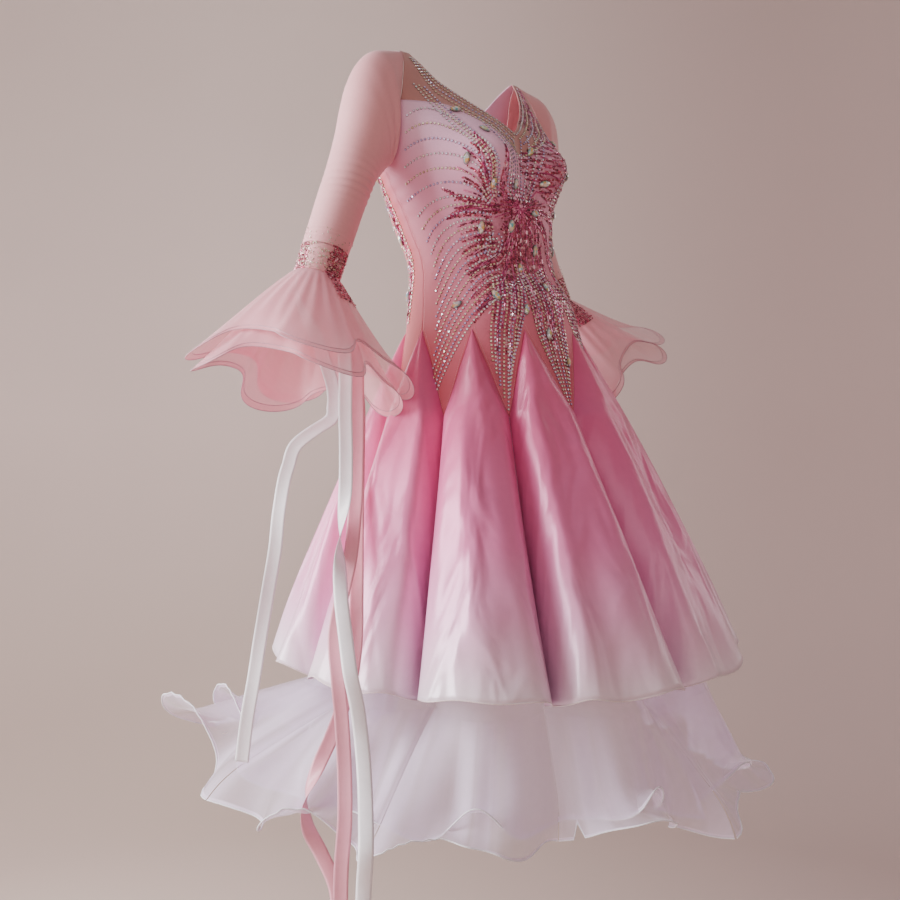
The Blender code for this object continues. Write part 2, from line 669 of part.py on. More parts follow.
def godet_at(angle):
    """The godet that covers an angle, and where in it the angle lies, from -1 to 1."""
    angle = min(179.999, max(-179.999, angle))
    for row, before in zip(GODETS, SEAMS):
        if before <= angle <= row[1]:
            seam = row[1] if angle > row[0] else before
            return row, (angle - row[0]) / abs(seam - row[0])
    return None


def chord_plan(angle, share):
    """The valleys' plan, straight between the body's columns as its wall is."""
    angles = [a for a, _ in point_columns()]
    i = min(len(angles) - 2, max(0, int(np.searchsorted(angles, angle)) - 1))
    before, after = (cone_plan(a, share) for a in angles[i : i + 2])
    return before + (after - before) * (angle - angles[i]) / (angles[i + 1] - angles[i])


def tulle_point(angle, under, below, layer):
    """A layer of the underskirt: under the satin it follows its folds from inside, and below
    it flares out to its own hem."""
    share = under + (HIP_Z - TULLE_TOP_Z) / VALLEY_DROP * (1 - under)
    row, across = godet_at(angle)
    bulge = 0.80 * (row[2] - VALLEY_RADIUS) * (1 - across**2) * max(0.0, share - TIP_SHARE)
    inset = TULLE_INSET + 0.008 * share + layer * (0.0015 + 0.012 * share)
    turn = math.radians(angle)
    way = np.array([math.sin(turn), -math.cos(turn)])
    plan = chord_plan(angle, share) + way * (bulge - inset)
    z = HIP_Z - share * VALLEY_DROP
    hem_radius = tulle_hem("radius", angle)
    hem_radius -= layer * (0.040 + 0.25 * (hem_radius - 0.42))
    hem = way * hem_radius + (0, SKIRT_CENTRE_Y)
    hem_z = tulle_hem("z", angle) + 0.018 * layer
    return np.array([*(plan + (hem - plan) * below**1.05), z + (hem_z - z) * below**1.15])


def tulle_panel(name, start, end, across, layer):
    gap = math.degrees(0.0004 / 0.2)
    angles = np.linspace(start + gap, end - gap, across + 1)
    rows = [(s, 0) for s in TULLE_UPPER] + [(TULLE_UPPER[-1], s) for s in TULLE_LOWER]
    points = [tulle_point(a, *row, layer) for row in rows for a in angles]
    wall(name, points, grid(len(rows), across + 1), SHEER, "tulle_white")


def make_underskirt():
    for number, (start, end) in enumerate(zip(SEAMS, SEAMS[1:]), start=1):
        tulle_panel(f"tulle_outer_{number:02d}", start, end, TULLE_ACROSS, 0)
    for number, (first, last) in enumerate(INNER_PANELS, start=1):
        tulle_panel(f"tulle_inner_{number:02d}", SEAMS[first], SEAMS[last], 12, 1)


# Streamers.
STREAMER_STEPS = 21


def streamer_place(rows, share):
    """The middle of a ribbon and the way of its width, by share of its fall."""
    z = column(rows, STREAMER_COLUMNS, "z")
    drop = z[0] + (z[-1] - z[0]) * share
    x, y, turn = (smooth(-drop, -z, column(rows, STREAMER_COLUMNS, name)) for name in ("x", "y", "turn"))
    return np.array([x, y, drop]), math.radians(turn)


def make_streamers():
    for number, (finish, rows) in STREAMERS.items():
        points = []
        for share in np.linspace(0, 1, STREAMER_STEPS):
            middle, turn = streamer_place(rows, share)
            shares = (max(0.0, share - 0.01), min(1.0, share + 0.01))
            before, after = (streamer_place(rows, at)[0] for at in shares)
            along_it = (after - before) / np.linalg.norm(after - before)
            across = np.array([math.cos(turn), math.sin(turn), 0])
            across -= along_it * (across @ along_it)
            across /= np.linalg.norm(across)
            points += [middle - across * RIBBON_WIDTH / 2, middle + across * RIBBON_WIDTH / 2]
        wall(f"streamer_{number}", points, grid(STREAMER_STEPS, 2), SHEER, finish)


for old in list(bpy.data.objects):
    bpy.data.objects.remove(old)
make_body()
make_yoke()
for side_name, is_left in (("right", False), ("left", True)):
    make_sleeve(side_name, is_left)
    make_flounces(side_name, is_left)
make_streamers()
make_godets()
make_underskirt()
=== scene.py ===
"""Ballroom dance dress, the finished look: mesh yoke and sleeves, stoned stretch body, satin
godets, two layers of tulle, bell flounces and ribbon streamers.

Metres, +Z up. The dress faces -Y and +X is the wearer's left; z is 0 at the shoulder seams.
Angles round the dress are in degrees from the front, positive towards the wearer's left.
"""

import math

import bpy
import numpy as np
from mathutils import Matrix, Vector


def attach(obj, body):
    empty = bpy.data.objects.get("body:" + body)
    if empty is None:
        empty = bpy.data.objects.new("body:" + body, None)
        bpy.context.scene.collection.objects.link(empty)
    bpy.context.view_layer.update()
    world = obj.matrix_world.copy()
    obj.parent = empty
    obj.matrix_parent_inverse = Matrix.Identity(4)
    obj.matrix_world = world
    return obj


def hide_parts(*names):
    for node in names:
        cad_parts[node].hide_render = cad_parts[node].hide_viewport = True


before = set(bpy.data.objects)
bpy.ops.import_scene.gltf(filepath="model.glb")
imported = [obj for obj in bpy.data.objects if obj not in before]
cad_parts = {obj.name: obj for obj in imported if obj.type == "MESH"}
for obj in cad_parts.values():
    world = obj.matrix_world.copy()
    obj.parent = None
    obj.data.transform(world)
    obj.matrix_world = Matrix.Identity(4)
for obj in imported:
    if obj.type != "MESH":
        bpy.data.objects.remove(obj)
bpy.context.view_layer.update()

# --- Camera ---
# It stands off the wearer's right front at waist height and looks a little down.
EYE_TURN = -48  # degrees round the dress from its front
EYE_DISTANCE = 2.25
EYE_SHIFT = -0.027  # along the picture, towards the wearer's right
EYE_Z = -0.607
EYE_PITCH = 1.74  # degrees down
LENS = 50

eye_angle = math.radians(EYE_TURN)
TOWARD = np.array([math.sin(eye_angle), -math.cos(eye_angle), 0.0])
ACROSS = np.array([-TOWARD[1], TOWARD[0], 0.0])
camera = bpy.data.objects.new("camera", bpy.data.cameras.new("camera"))
camera.data.lens = LENS
camera.location = TOWARD * EYE_DISTANCE + ACROSS * EYE_SHIFT + (0, 0, EYE_Z)
camera.rotation_euler = (math.radians(90 - EYE_PITCH), 0, eye_angle)
bpy.context.scene.collection.objects.link(camera)
bpy.context.scene.camera = camera

# --- Room ---
# A round bowl of pale, warm plaster: the floor sweeps up into the wall without a line, and
# large soft lights stand inside it.
FLOOR_Z = -2.35
ROOM_RADIUS = 4.6
SWEEP = 1.6
WALL_TOP = 3.4
ROOM_STEPS = 96
WARM_RISE = 1.7  # height over the floor at which its warmer tone ends
SHADE_ACROSS = (-1.3, 1.9)  # where the wall starts and ends to darken, across the picture
# Each light: its place and what it faces by (towards the camera, across the picture,
# height), then its size, power and colour.
LIGHTS = [
    ("window", (0.75, -2.70, 0.00), (0, 0, -0.65), (1.6, 2.8), 216, (0.96, 0.975, 1.0)),
    ("front", (3.20, -0.60, 0.80), (0, 0, -0.65), (2.2, 1.6), 9, (1.0, 0.96, 0.94)),
    ("rear_left", (-1.90, -2.20, 0.30), (0, 0, -0.65), (1.0, 2.0), 32, (0.97, 0.98, 1.0)),
    ("rear_right", (-1.60, 2.40, 0.20), (0, 0, -0.65), (0.8, 1.8), 8, (1.0, 0.94, 0.92)),
]


def link(name, data):
    made = bpy.data.objects.new(name, data)
    bpy.context.scene.collection.objects.link(made)
    return made


def nodes_of(name, **settings):
    """A new material, its node tree and its shader, with the shader's sockets set by name."""
    made = bpy.data.materials.new(name)
    made.use_nodes = True
    shader = made.node_tree.nodes["Principled BSDF"]
    for socket, value in settings.items():
        shader.inputs[socket.replace("_", " ")].default_value = value
    return made, made.node_tree, shader


def wired(tree, kind, output=0, **inputs):
    """A new node's output. Its inputs, by name or _number, take a value or the output that
    feeds them; names that start with set_ are the node's own settings, which come first."""
    node = tree.nodes.new(kind)
    for name, value in inputs.items():
        if name.startswith("set_"):
            setattr(node, name[4:], value)
            continue
        socket = node.inputs[int(name[1:]) if name[0] == "_" else name.replace("_", " ")]
        if isinstance(value, bpy.types.NodeSocket):
            tree.links.new(value, socket)
        else:
            socket.default_value = value
    return node.outputs[output]


def object_place(tree):
    return wired(tree, "ShaderNodeTexCoord", "Object")


def noise(tree, place, scale, detail=1.0, **more):
    return wired(tree, "ShaderNodeTexNoise", Vector=place, Scale=scale, Detail=detail, **more)


def from_to(tree, value, low, high, **more):
    """A value brought to between 0 and 1, or another stated range."""
    return wired(tree, "ShaderNodeMapRange", **more, Value=value, From_Min=low, From_Max=high)


def math_node(tree, operation, *values):
    inputs = {f"_{i}": value for i, value in enumerate(values)}
    return wired(tree, "ShaderNodeMath", set_operation=operation, **inputs)


def ramp(tree, fac, stops):
    """A colour ramp's output; stops are (position, colour)."""
    node = wired(tree, "ShaderNodeValToRGB", Fac=fac).node
    while len(node.color_ramp.elements) < len(stops):
        node.color_ramp.elements.new(0.5)
    for element, (position, colour) in zip(node.color_ramp.elements, stops):
        element.position = position
        element.color = (*colour, 1)
    return node.outputs["Color"]


def mixed(tree, fac, first, second, blend="MIX"):
    first, second = (value if isinstance(value, bpy.types.NodeSocket) else (*value, 1)
                     for value in (first, second))
    return wired(tree, "ShaderNodeMix", 2, set_data_type="RGBA", set_blend_type=blend, _0=fac, _6=first,
                 _7=second)


def quads(rows, across, wrapped=False):
    """Faces of a grid whose rows run down and whose columns run anticlockwise from above."""
    r, c = np.mgrid[0 : rows - 1, 0 : across if wrapped else across - 1]
    a, e = r * across + c, r * across + (c + 1) % across
    return np.stack([a, a + across, e + across, e], axis=-1).reshape(-1, 4)


def whole_turn(count):
    return np.linspace(0, 2 * math.pi, count, endpoint=False)


def in_view(toward, across, z):
    return TOWARD * toward + ACROSS * across + (0, 0, z)


flat_radius = ROOM_RADIUS - SWEEP
profile = [(r, FLOOR_Z) for r in (1.0, 2.0, flat_radius)]
profile += [(flat_radius + SWEEP * math.sin(b), FLOOR_Z + SWEEP * (1 - math.cos(b)))
            for b in np.linspace(0, math.pi / 2, 13)[1:]]
profile.append((ROOM_RADIUS, WALL_TOP))
room_points = [(0, 0, FLOOR_Z)]
room_points += [(r * math.cos(t), r * math.sin(t), z) for r, z in profile for t in whole_turn(ROOM_STEPS)]
room_faces = [(0, 1 + i, 1 + (i + 1) % ROOM_STEPS) for i in range(ROOM_STEPS)]
room_faces += (quads(len(profile), ROOM_STEPS, wrapped=True) + 1).tolist()
room_mesh = bpy.data.meshes.new("room")
room_mesh.from_pydata(room_points, [], room_faces)
room_mesh.shade_smooth()
plaster, tree, shader = nodes_of("plaster", Roughness=0.95)
place = object_place(tree)
cloud = math_node(tree, "MULTIPLY", noise(tree, place, 0.9, 3.0, Roughness=0.45), 0.25)
height = wired(tree, "ShaderNodeSeparateXYZ", "Z", Vector=place)
rise = from_to(tree, height, FLOOR_Z, FLOOR_Z + WARM_RISE)
lower = ramp(tree, rise, [(0.0, (0.80, 0.65, 0.575)), (1.0, (1.0, 0.88, 0.83))])
aside = wired(tree, "ShaderNodeVectorMath", "Value", set_operation="DOT_PRODUCT", _0=place, _1=ACROSS)
fade = from_to(tree, aside, *SHADE_ACROSS, set_interpolation_type="SMOOTHSTEP")
# painted shade towards the right of the wall
tone = mixed(tree, fade, lower, (0.50, 0.375, 0.355))
tree.links.new(mixed(tree, cloud, tone, (0.62, 0.49, 0.455)), shader.inputs["Base Color"])
room_mesh.materials.append(plaster)
room = link("room", room_mesh)

world = bpy.data.worlds.new("daylight")
world.use_nodes = True
background = world.node_tree.nodes["Background"]
background.inputs["Color"].default_value = (1.0, 0.93, 0.90, 1)
background.inputs["Strength"].default_value = 0.37
bpy.context.scene.world = world

for name, spot, aim, (width, tall), watts, colour in LIGHTS:
    lamp = bpy.data.lights.new(name, "AREA")
    lamp.shape, lamp.size, lamp.size_y = "RECTANGLE", width, tall
    lamp.energy, lamp.color = watts, colour
    placed = link(name, lamp)
    placed.location = in_view(*spot)
    placed.rotation_euler = Vector(in_view(*aim) - in_view(*spot)).to_track_quat("-Z", "Y").to_euler()

# --- The dress's surface ---
# Everything above the hip line is cut to one worn form, and the skirt hangs from it as a cone.
# The sizes are those of the pattern, and each piece of cloth below is cut from this surface.
HIP_Z = -0.470  # hip line, where the godets start
POINT_MID_Z = -0.535  # halfway down the body's points
POINT_TIP_Z = -0.615  # tips of the body's points
SIDE_SEAM = 94  # angle of the side seams
SECTION_POWER = 2.3  # 2 is an ellipse, more is squarer
NECK_X = 0.140  # inner edge of a strap on the shoulder
SHOULDER_X = 0.154  # outer edge of a strap, at the armhole
SHOULDER_Z = 0.005
SKIRT_CENTRE_Y = -0.100  # the skirt's axis at the hem
GODET_LENGTH = 0.605
VALLEY_RADIUS = 0.275  # hem radius at the seams between godets
VALLEY_OUT = 0.135  # from the hip line out to there
VALLEY_DROP = math.sqrt(GODET_LENGTH**2 - VALLEY_OUT**2)
FINE_STEPS = 60  # places at which a curve is measured


def table(names, rows):
    """Named columns of numbers."""
    return dict(zip(names.split(), np.array(rows, float).T))


BODY = table("z half_width side_y front_y back_y", [
    (-0.470, 0.168, -0.066, -0.195, 0.056),
    (-0.430, 0.158, -0.058, -0.186, 0.058),
    (-0.400, 0.150, -0.050, -0.172, 0.060),
    (-0.370, 0.143, -0.043, -0.151, 0.064),
    (-0.340, 0.141, -0.033, -0.143, 0.071),
    (-0.310, 0.144, -0.020, -0.143, 0.086),
    (-0.280, 0.149, -0.010, -0.1425, 0.099),
    (-0.250, 0.158, 0.000, -0.141, 0.104),
    (-0.220, 0.168, 0.010, -0.135, 0.104),
    (-0.190, 0.178, 0.018, -0.128, 0.101),
    (-0.155, 0.191, 0.019, -0.121, 0.096),
    (-0.120, 0.201, 0.017, -0.108, 0.089),
    (-0.085, 0.203, 0.015, -0.079, 0.078),
    (-0.050, 0.201, 0.013, -0.047, 0.062),
    (-0.020, 0.199, 0.011, -0.022, 0.042),
    (0.012, 0.196, 0.010, 0.004, 0.018),
])
BUST = {"x": 0.088, "z": -0.178, "depth": 0.043, "spread": 0.054, "above": 0.050, "below": 0.048}
RIDGE = {"y": 0.008, "fall": 33.0, "rounding": 0.026}

# The godets, from centre back round by the wearer's right.
GODETS = [  # apex, seam after it, lobe's radius, lean, number of flutes, their depth and phase
    (-163, -146.5, 0.405, 1, 2.5, 0.10, 0.6),
    (-130, -112, 0.415, 2, 2.5, 0.12, 0.2),
    (-94, -75.5, 0.405, -1, 2.5, 0.12, 0.9),
    (-57, -38.5, 0.402, 1, 2.0, 0.08, 0.0),
    (-20, 0, 0.398, 2, 2.5, 0.10, 0.4),
    (20, 38.5, 0.405, 2, 2.5, 0.10, 0.4),
    (57, 75.5, 0.430, 1, 2.0, 0.08, 0.0),
    (94, 112, 0.405, 1, 2.5, 0.12, 0.6),
    (130, 146.5, 0.415, -2, 2.5, 0.12, 0.3),
    (163, 180, 0.405, -1, 2.5, 0.10, 0.9),
]
SEAMS = [-180] + [row[1] for row in GODETS]


def smooth(at, knots, values):
    """A smooth curve through values at knots, which rise; held level past both ends."""
    knots, values = np.array(knots, float), np.array(values, float)
    at = np.clip(at, knots[0], knots[-1])
    slopes = np.gradient(values, knots, axis=0)
    i = np.clip(np.searchsorted(knots, at) - 1, 0, len(knots) - 2)
    extra = (1,) * (values.ndim - 1)
    step = (knots[i + 1] - knots[i]).reshape(np.shape(at) + extra)
    t = (at - knots[i]).reshape(np.shape(at) + extra) / step
    return (
        (2 * t**3 - 3 * t**2 + 1) * values[i]
        + (t**3 - 2 * t**2 + t) * step * slopes[i]
        + (3 * t**2 - 2 * t**3) * values[i + 1]
        + (t**3 - t**2) * step * slopes[i + 1]
    )


def between(at, knots, rows):
    """Straight lines through rows of values at knots, which rise."""
    return np.stack([np.interp(at, knots, values) for values in np.transpose(rows)], axis=-1)


def lengths_along(points, axis=0):
    """Distances along a line or a grid of points, starting at 0."""
    steps = np.linalg.norm(np.diff(points, axis=axis), axis=-1)
    start = np.zeros_like(np.take(steps, [0], axis=axis))
    return np.concatenate([start, np.cumsum(steps, axis=axis)], axis=axis)


def bump(distance, reach):
    """1 in the middle, falling softly to 0."""
    return np.exp(-((distance / reach) ** 2))


def together(*values):
    """Numbers or arrays as arrays of one shape."""
    return np.broadcast_arrays(*(np.asarray(value, float) for value in values))


def section(name, z):
    """A column of the body's table at heights z."""
    return smooth(z, BODY["z"], BODY[name])


def body_points(angle, z):
    """The body's surface: a squared ellipse, two cups, and the roll over the shoulder line."""
    angle, z = together(angle, z)
    sine, cosine = np.sin(np.radians(angle)), np.cos(np.radians(angle))
    power = 2 / SECTION_POWER
    x = section("half_width", z) * np.sign(sine) * np.abs(sine) ** power
    side = section("side_y", z)
    end = np.where(cosine > 0, section("front_y", z), section("back_y", z))
    y = side + (end - side) * np.abs(cosine) ** power
    spread = np.where(z > BUST["z"], BUST["above"], BUST["below"])
    cup = ((np.abs(x) - BUST["x"]) / BUST["spread"]) ** 2 + ((z - BUST["z"]) / spread) ** 2
    y = y - (cosine > 0) * BUST["depth"] * np.exp(-cup) * np.minimum(1, np.abs(cosine) * 2)
    ridge = SHOULDER_Z - RIDGE["fall"] * np.maximum(0, np.abs(x) - SHOULDER_X) ** 2
    down = np.clip((ridge - z) / RIDGE["rounding"], 0, 1)
    y = RIDGE["y"] + (y - RIDGE["y"]) * np.sqrt(2 * down - down**2)
    return np.stack([x, y, z], axis=-1)


def outward(angle):
    """Level unit vectors out from the dress's axis, in plan."""
    return np.stack([np.sin(np.radians(angle)), -np.cos(np.radians(angle))], axis=-1)


def cone_plan(angle, share):
    """The plan of the skirt's valleys: straight lines from the hip line out to the hem."""
    angle, share = together(angle, share)
    hip = body_points(angle, np.full(angle.shape, HIP_Z))[..., :2]
    hem = outward(angle) * VALLEY_RADIUS + (0, SKIRT_CENTRE_Y)
    return hip + (hem - hip) * share[..., None]


def surface_points(angle, z):
    angle, z = together(angle, z)
    plan = cone_plan(angle, (HIP_Z - z) / VALLEY_DROP)
    cone = np.concatenate([plan, z[..., None]], axis=-1)
    return np.where((z >= HIP_Z)[..., None], body_points(angle, z), cone)


def unit(vectors):
    return vectors / np.maximum(np.linalg.norm(vectors, axis=-1, keepdims=True), 1e-12)


def surface_normals(angle, z):
    """Outward, by small steps across and down."""
    angle, z = np.asarray(angle, float), np.asarray(z, float)
    across = surface_points(angle + 0.5, z) - surface_points(angle - 0.5, z)
    down = surface_points(angle, z - 0.0005) - surface_points(angle, z)
    return unit(np.cross(down, across))


def curve_at(rows, back=False):
    """(angle, z) on the body's surface for rows of (x, z)."""
    made = []
    for x, z in rows:
        share = min(1.0, abs(x) / float(section("half_width", z))) ** (SECTION_POWER / 2)
        turn = math.copysign(math.degrees(math.asin(share)), x)
        made.append((math.copysign(180, x) - turn if back else turn, z))
    return made


def evenly(curve, count):
    """(angle, z) at equal distances on the surface along a curve of (angle, z)."""
    steps = lengths_along(np.array(curve, float))
    fine = between(np.linspace(0, steps[-1], FINE_STEPS), steps, curve)
    lengths = lengths_along(body_points(fine[:, 0], fine[:, 1]))
    return between(np.linspace(0, lengths[-1], count + 1), lengths, fine)


# --- Stretch body ---
# Three pieces of pink stretch jersey, a front and two backs, sewn at the sides and the centre
# back, each cut at its lower edge into long points between which the godets are set.
JERSEY = 0.0012  # thickness
WEAVE_RELIEF = 0.0002
ROW_TOP_Z = -0.215  # above this the columns lean to the piece's top edge
COLUMNS_EACH = 8  # columns in each quarter of a point
ROWS_ABOVE, ROWS_BELOW = 24, 64  # rows of a piece over and under ROW_TOP_Z
NECKLINE = [(0.0, -0.124), (0.035, -0.099), (0.060, -0.083), (0.085, -0.065), (0.112, -0.043),
            (NECK_X, SHOULDER_Z)]
BACK_NECKLINE = [(0.0, -0.125), (0.040, -0.115), (0.080, -0.085), (0.112, -0.045), (NECK_X, SHOULDER_Z)]
YOKE_SEAM = [(0.0, -0.166), (0.045, -0.142), (0.080, -0.119), (0.104, -0.101), (0.132, -0.092),
             (0.191, -0.089)]
ARMHOLE_FRONT = [(SHOULDER_X, SHOULDER_Z), (0.177, -0.045), (0.191, -0.089), (0.1925, -0.125),
                 (0.187, -0.163), (0.1775, -0.190)]
ARMHOLE_BACK = [(SHOULDER_X, SHOULDER_Z), (0.170, -0.045), (0.178, -0.095), (0.181, -0.145),
                (0.1775, -0.190)]
DYE_AND_LIGHT_SLOPE, DYE_AND_LIGHT_START = -2.4, -0.36  # the strength of the dye and the painted light for each metre of height, and at z 0
DYE_PATCHES = 0.2  # how much of it is uneven
FLANK_SHADE_ANGLE, FLANK_SHADE_REACH = 110, 27  # where the painted shade on the flanks is deepest, in degrees
ARMPIT_PULL = (88, 26, -0.240, 0.050, 0.0007)  # angle, reach in degrees, z, reach in z, depth
WAIST_PULL = (-0.345, 0.045, 0.00045)  # z, reach in z, depth
# Where fine sequins cover the cloth between the beads: angle, z, reach in degrees, reach in
# height, and how thickly.
BEADED = [(-6, -0.262, 19, 0.040, 0.9), (29, -0.190, 27, 0.052, 0.9), (-4, -0.345, 25, 0.070, 0.85),
          (-30, -0.330, 14, 0.045, 0.6), (0, -0.470, 11, 0.110, 0.6), (-38.5, -0.500, 10, 0.085, 0.5),
          (38.5, -0.500, 10, 0.085, 0.5)]

ARMPIT = (SIDE_SEAM, ARMHOLE_FRONT[-1][1])
yoke_line = curve_at(YOKE_SEAM)
armhole_upper = curve_at(ARMHOLE_FRONT[:3])
armhole_lower = curve_at(ARMHOLE_FRONT[2:-1]) + [ARMPIT]
armhole_rear = [ARMPIT] + curve_at(ARMHOLE_BACK[:-1], back=True)[::-1]


def ringed(points, wrapped):
    """A grid of points, with its first column again at the end if it is wrapped."""
    return np.concatenate([points, points[:, :1]], axis=1) if wrapped else points


def cloth(name, points, material, thick=0.0, wrapped=False, marks=None):
    """A piece of cloth from rows of points that run down. Its UV map is in metres across and
    down the cloth; marks are named values for each point."""
    rows, across = points.shape[:2]
    mesh = bpy.data.meshes.new(name)
    mesh.from_pydata(points.reshape(-1, 3).tolist(), [], quads(rows, across, wrapped).tolist())
    whole = ringed(points, wrapped)
    u = lengths_along(whole, 1)
    u -= u[:, -1:] / 2
    v = lengths_along(whole).mean(axis=1, keepdims=True) + 0 * u
    corners = quads(rows, whole.shape[1])
    layer = mesh.uv_layers.new(name="cloth")
    layer.data.foreach_set("uv", np.stack([u.ravel()[corners], v.ravel()[corners]], axis=-1).ravel())
    for mark, values in (marks or {}).items():
        made = mesh.attributes.new(mark, "FLOAT", "POINT")
        made.data.foreach_set("value", np.broadcast_to(values, (rows, across)).ravel().astype(np.float32))
    mesh.materials.append(material)
    mesh.shade_smooth()
    piece = link(name, mesh)
    if thick:
        skin = piece.modifiers.new("skin", "SOLIDIFY")
        skin.thickness, skin.offset = thick, 0.0
    return piece


def sewn(piece, node, points, wrapped=False):
    """Hides the imported mesh of its node and hangs the finished piece of cloth on the root body."""
    points = ringed(points, wrapped)
    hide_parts(node)
    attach(piece, "root")


def weave_group():
    """Over-and-under threads with slubs, read from the cloth's UV map in metres."""
    group = bpy.data.node_groups.new("weave", "ShaderNodeTree")
    sockets = {"INPUT": ("Threads", "Float", "Slub", "Slub Scale"), "OUTPUT": ("Height", "Shade")}
    for way, names in sockets.items():
        for name in names:
            group.interface.new_socket(name, in_out=way, socket_type="NodeSocketFloat")
    given, out = group.nodes.new("NodeGroupInput").outputs, group.nodes.new("NodeGroupOutput")
    uv = wired(group, "ShaderNodeUVMap", "UV")
    ways = [wired(group, "ShaderNodeSeparateXYZ", way, Vector=uv) for way in "XY"]
    across, down = (math_node(group, "MULTIPLY", way, given["Threads"]) for way in ways)
    down = math_node(group, "DIVIDE", down, given["Float"])
    waves = [math_node(group, "SINE", math_node(group, "MULTIPLY", way, math.pi)) for way in (across, down)]
    over = math_node(group, "MULTIPLY", *waves)
    slub = math_node(group, "SUBTRACT", noise(group, uv, given["Slub Scale"], 3.0, Roughness=0.6), 0.5)
    uneven = math_node(group, "MULTIPLY", slub, given["Slub"])
    group.links.new(math_node(group, "ADD", over, uneven), out.inputs["Height"])
    group.links.new(math_node(group, "ADD", uneven, 1.0), out.inputs["Shade"])
    return group


WEAVE = weave_group()


def woven(tree, shader, colour, threads, slub, slub_scale, strength, floats=1.0):
    """Gives a shader a colour with the weave's shade and bump on it."""
    height = wired(tree, "ShaderNodeGroup", "Height", set_node_tree=WEAVE, Threads=threads, Float=floats,
                   Slub=slub, Slub_Scale=slub_scale)
    shade = wired(tree, "ShaderNodeCombineXYZ", **{way: height.node.outputs["Shade"] for way in "XYZ"})
    tree.links.new(mixed(tree, 1.0, colour, shade, "MULTIPLY"), shader.inputs["Base Color"])
    relief = wired(tree, "ShaderNodeBump", Strength=strength, Distance=WEAVE_RELIEF, Height=height)
    tree.links.new(relief, shader.inputs["Normal"])


def marked(tree, name):
    """A piece's own named value."""
    return wired(tree, "ShaderNodeAttribute", "Fac", set_attribute_name=name)


def cells(tree, place, scale):
    """A random value for each small cell of the surface."""
    found = wired(tree, "ShaderNodeTexVoronoi", "Color", Vector=place, Scale=scale)
    return wired(tree, "ShaderNodeSeparateColor", Color=found)


lycra, tree, shader = nodes_of("stretch_jersey", Roughness=0.55, Sheen_Weight=0.06, Sheen_Roughness=0.4,
                               Sheen_Tint=(1.0, 0.80, 0.82, 1))
place = object_place(tree)
# The tone by height is the jersey's own ombré, deepening towards the points, with painted shade lower down
# and a painted highlight in its pale lilac top over the chest.
patchy = math_node(tree, "MULTIPLY_ADD", noise(tree, place, 7.0, 2.0), DYE_PATCHES, DYE_AND_LIGHT_START)
height = wired(tree, "ShaderNodeSeparateXYZ", "Z", Vector=place)
level = math_node(tree, "MULTIPLY_ADD", height, DYE_AND_LIGHT_SLOPE, patchy)
tone = ramp(tree, level, [(0.0, (1.0, 0.66, 0.88)), (0.3, (0.95, 0.46, 0.66)), (0.6, (0.82, 0.28, 0.40)),
                          (1.0, (0.75, 0.17, 0.24))])
# painted shade on both flanks, where the arms shade the body
tone = mixed(tree, math_node(tree, "MULTIPLY", marked(tree, "flank_shade"), 0.95), tone, (0.48, 0.065, 0.075))
flat_sequins = math_node(tree, "MULTIPLY_ADD", cells(tree, place, 230.0), 0.6, 0.4)
cover = math_node(tree, "MULTIPLY", marked(tree, "beaded"), flat_sequins)
tone = mixed(tree, cover, tone, (0.30, 0.035, 0.075))
woven(tree, shader, tone, threads=1800, slub=0.10, slub_scale=350, strength=0.12)

# Each corner of the body's lower edge, from seam to seam: angle and height.
CORNERS = [(SEAMS[0], POINT_TIP_Z)]
for (apex, after, *_), before in zip(GODETS, SEAMS):
    CORNERS += [((before + apex) / 2, POINT_MID_Z), (apex, HIP_Z), ((apex + after) / 2, POINT_MID_Z),
                (after, POINT_TIP_Z)]


def pulls(angle, z):
    """Shallow drag lines of the stretched jersey: from the armpits, and across the waist."""
    side_angle, wide, side_z, tall, side_depth = ARMPIT_PULL
    waist_z, waist_tall, waist_depth = WAIST_PULL
    side = np.exp(-(((np.abs(angle) - side_angle) / wide) ** 2) - ((z - side_z) / tall) ** 2)
    lines = np.sin(z * 260 + np.abs(angle) * 0.16) * side_depth * side
    return lines + np.sin(z * 330 - np.abs(angle) * 0.05) * waist_depth * bump(z - waist_z, waist_tall)


def edge(*parts):
    """Rows of (share, angle, z) along a top edge, from curves, counts and shares of the columns."""
    rows = []
    for curve, count, start, end in parts:
        places = evenly(curve, count)
        rows.append(np.column_stack([np.linspace(start, end, len(places)), places]))
    return np.concatenate(rows)


def beaded(angles, heights):
    bare = np.ones(angles.shape)
    for angle, z, reach, rise, thick in BEADED:
        bare *= 1 - thick * np.exp(-(((angles - angle) / reach) ** 2 + ((heights - z) / rise) ** 2) ** 1.5)
    return 1 - bare


def body_grid(top, first, last):
    """Points of a piece between two angles, from its top edge down to its points, and its
    marks; its columns are evenly spaced between the points' corners."""
    corners, lower = np.array([corner for corner in CORNERS if first <= corner[0] <= last]).T
    share = np.linspace(0, 1, (len(corners) - 1) * COLUMNS_EACH + 1)
    angle = np.interp(share, np.linspace(0, 1, len(corners)), corners)
    top_angle, top_z = between(share, top[:, 0], top[:, 1:]).T
    above = np.linspace(0, 1, ROWS_ABOVE, endpoint=False)[:, None]
    below = np.linspace(0, 1, ROWS_BELOW)[:, None]
    angles = np.concatenate([top_angle + (angle - top_angle) * above, angle + 0 * below])
    heights = np.concatenate([top_z + (ROW_TOP_Z - top_z) * above,
                              ROW_TOP_Z + (np.interp(angle, corners, lower) - ROW_TOP_Z) * below])
    # the flanks' mark is painted shade, strongest under the arms
    marks = {"flank_shade": bump(np.abs(angles) - FLANK_SHADE_ANGLE, FLANK_SHADE_REACH), "beaded": beaded(angles, heights)}
    points = surface_points(angles, heights)
    return points + surface_normals(angles, heights) * pulls(angles, heights)[..., None], marks


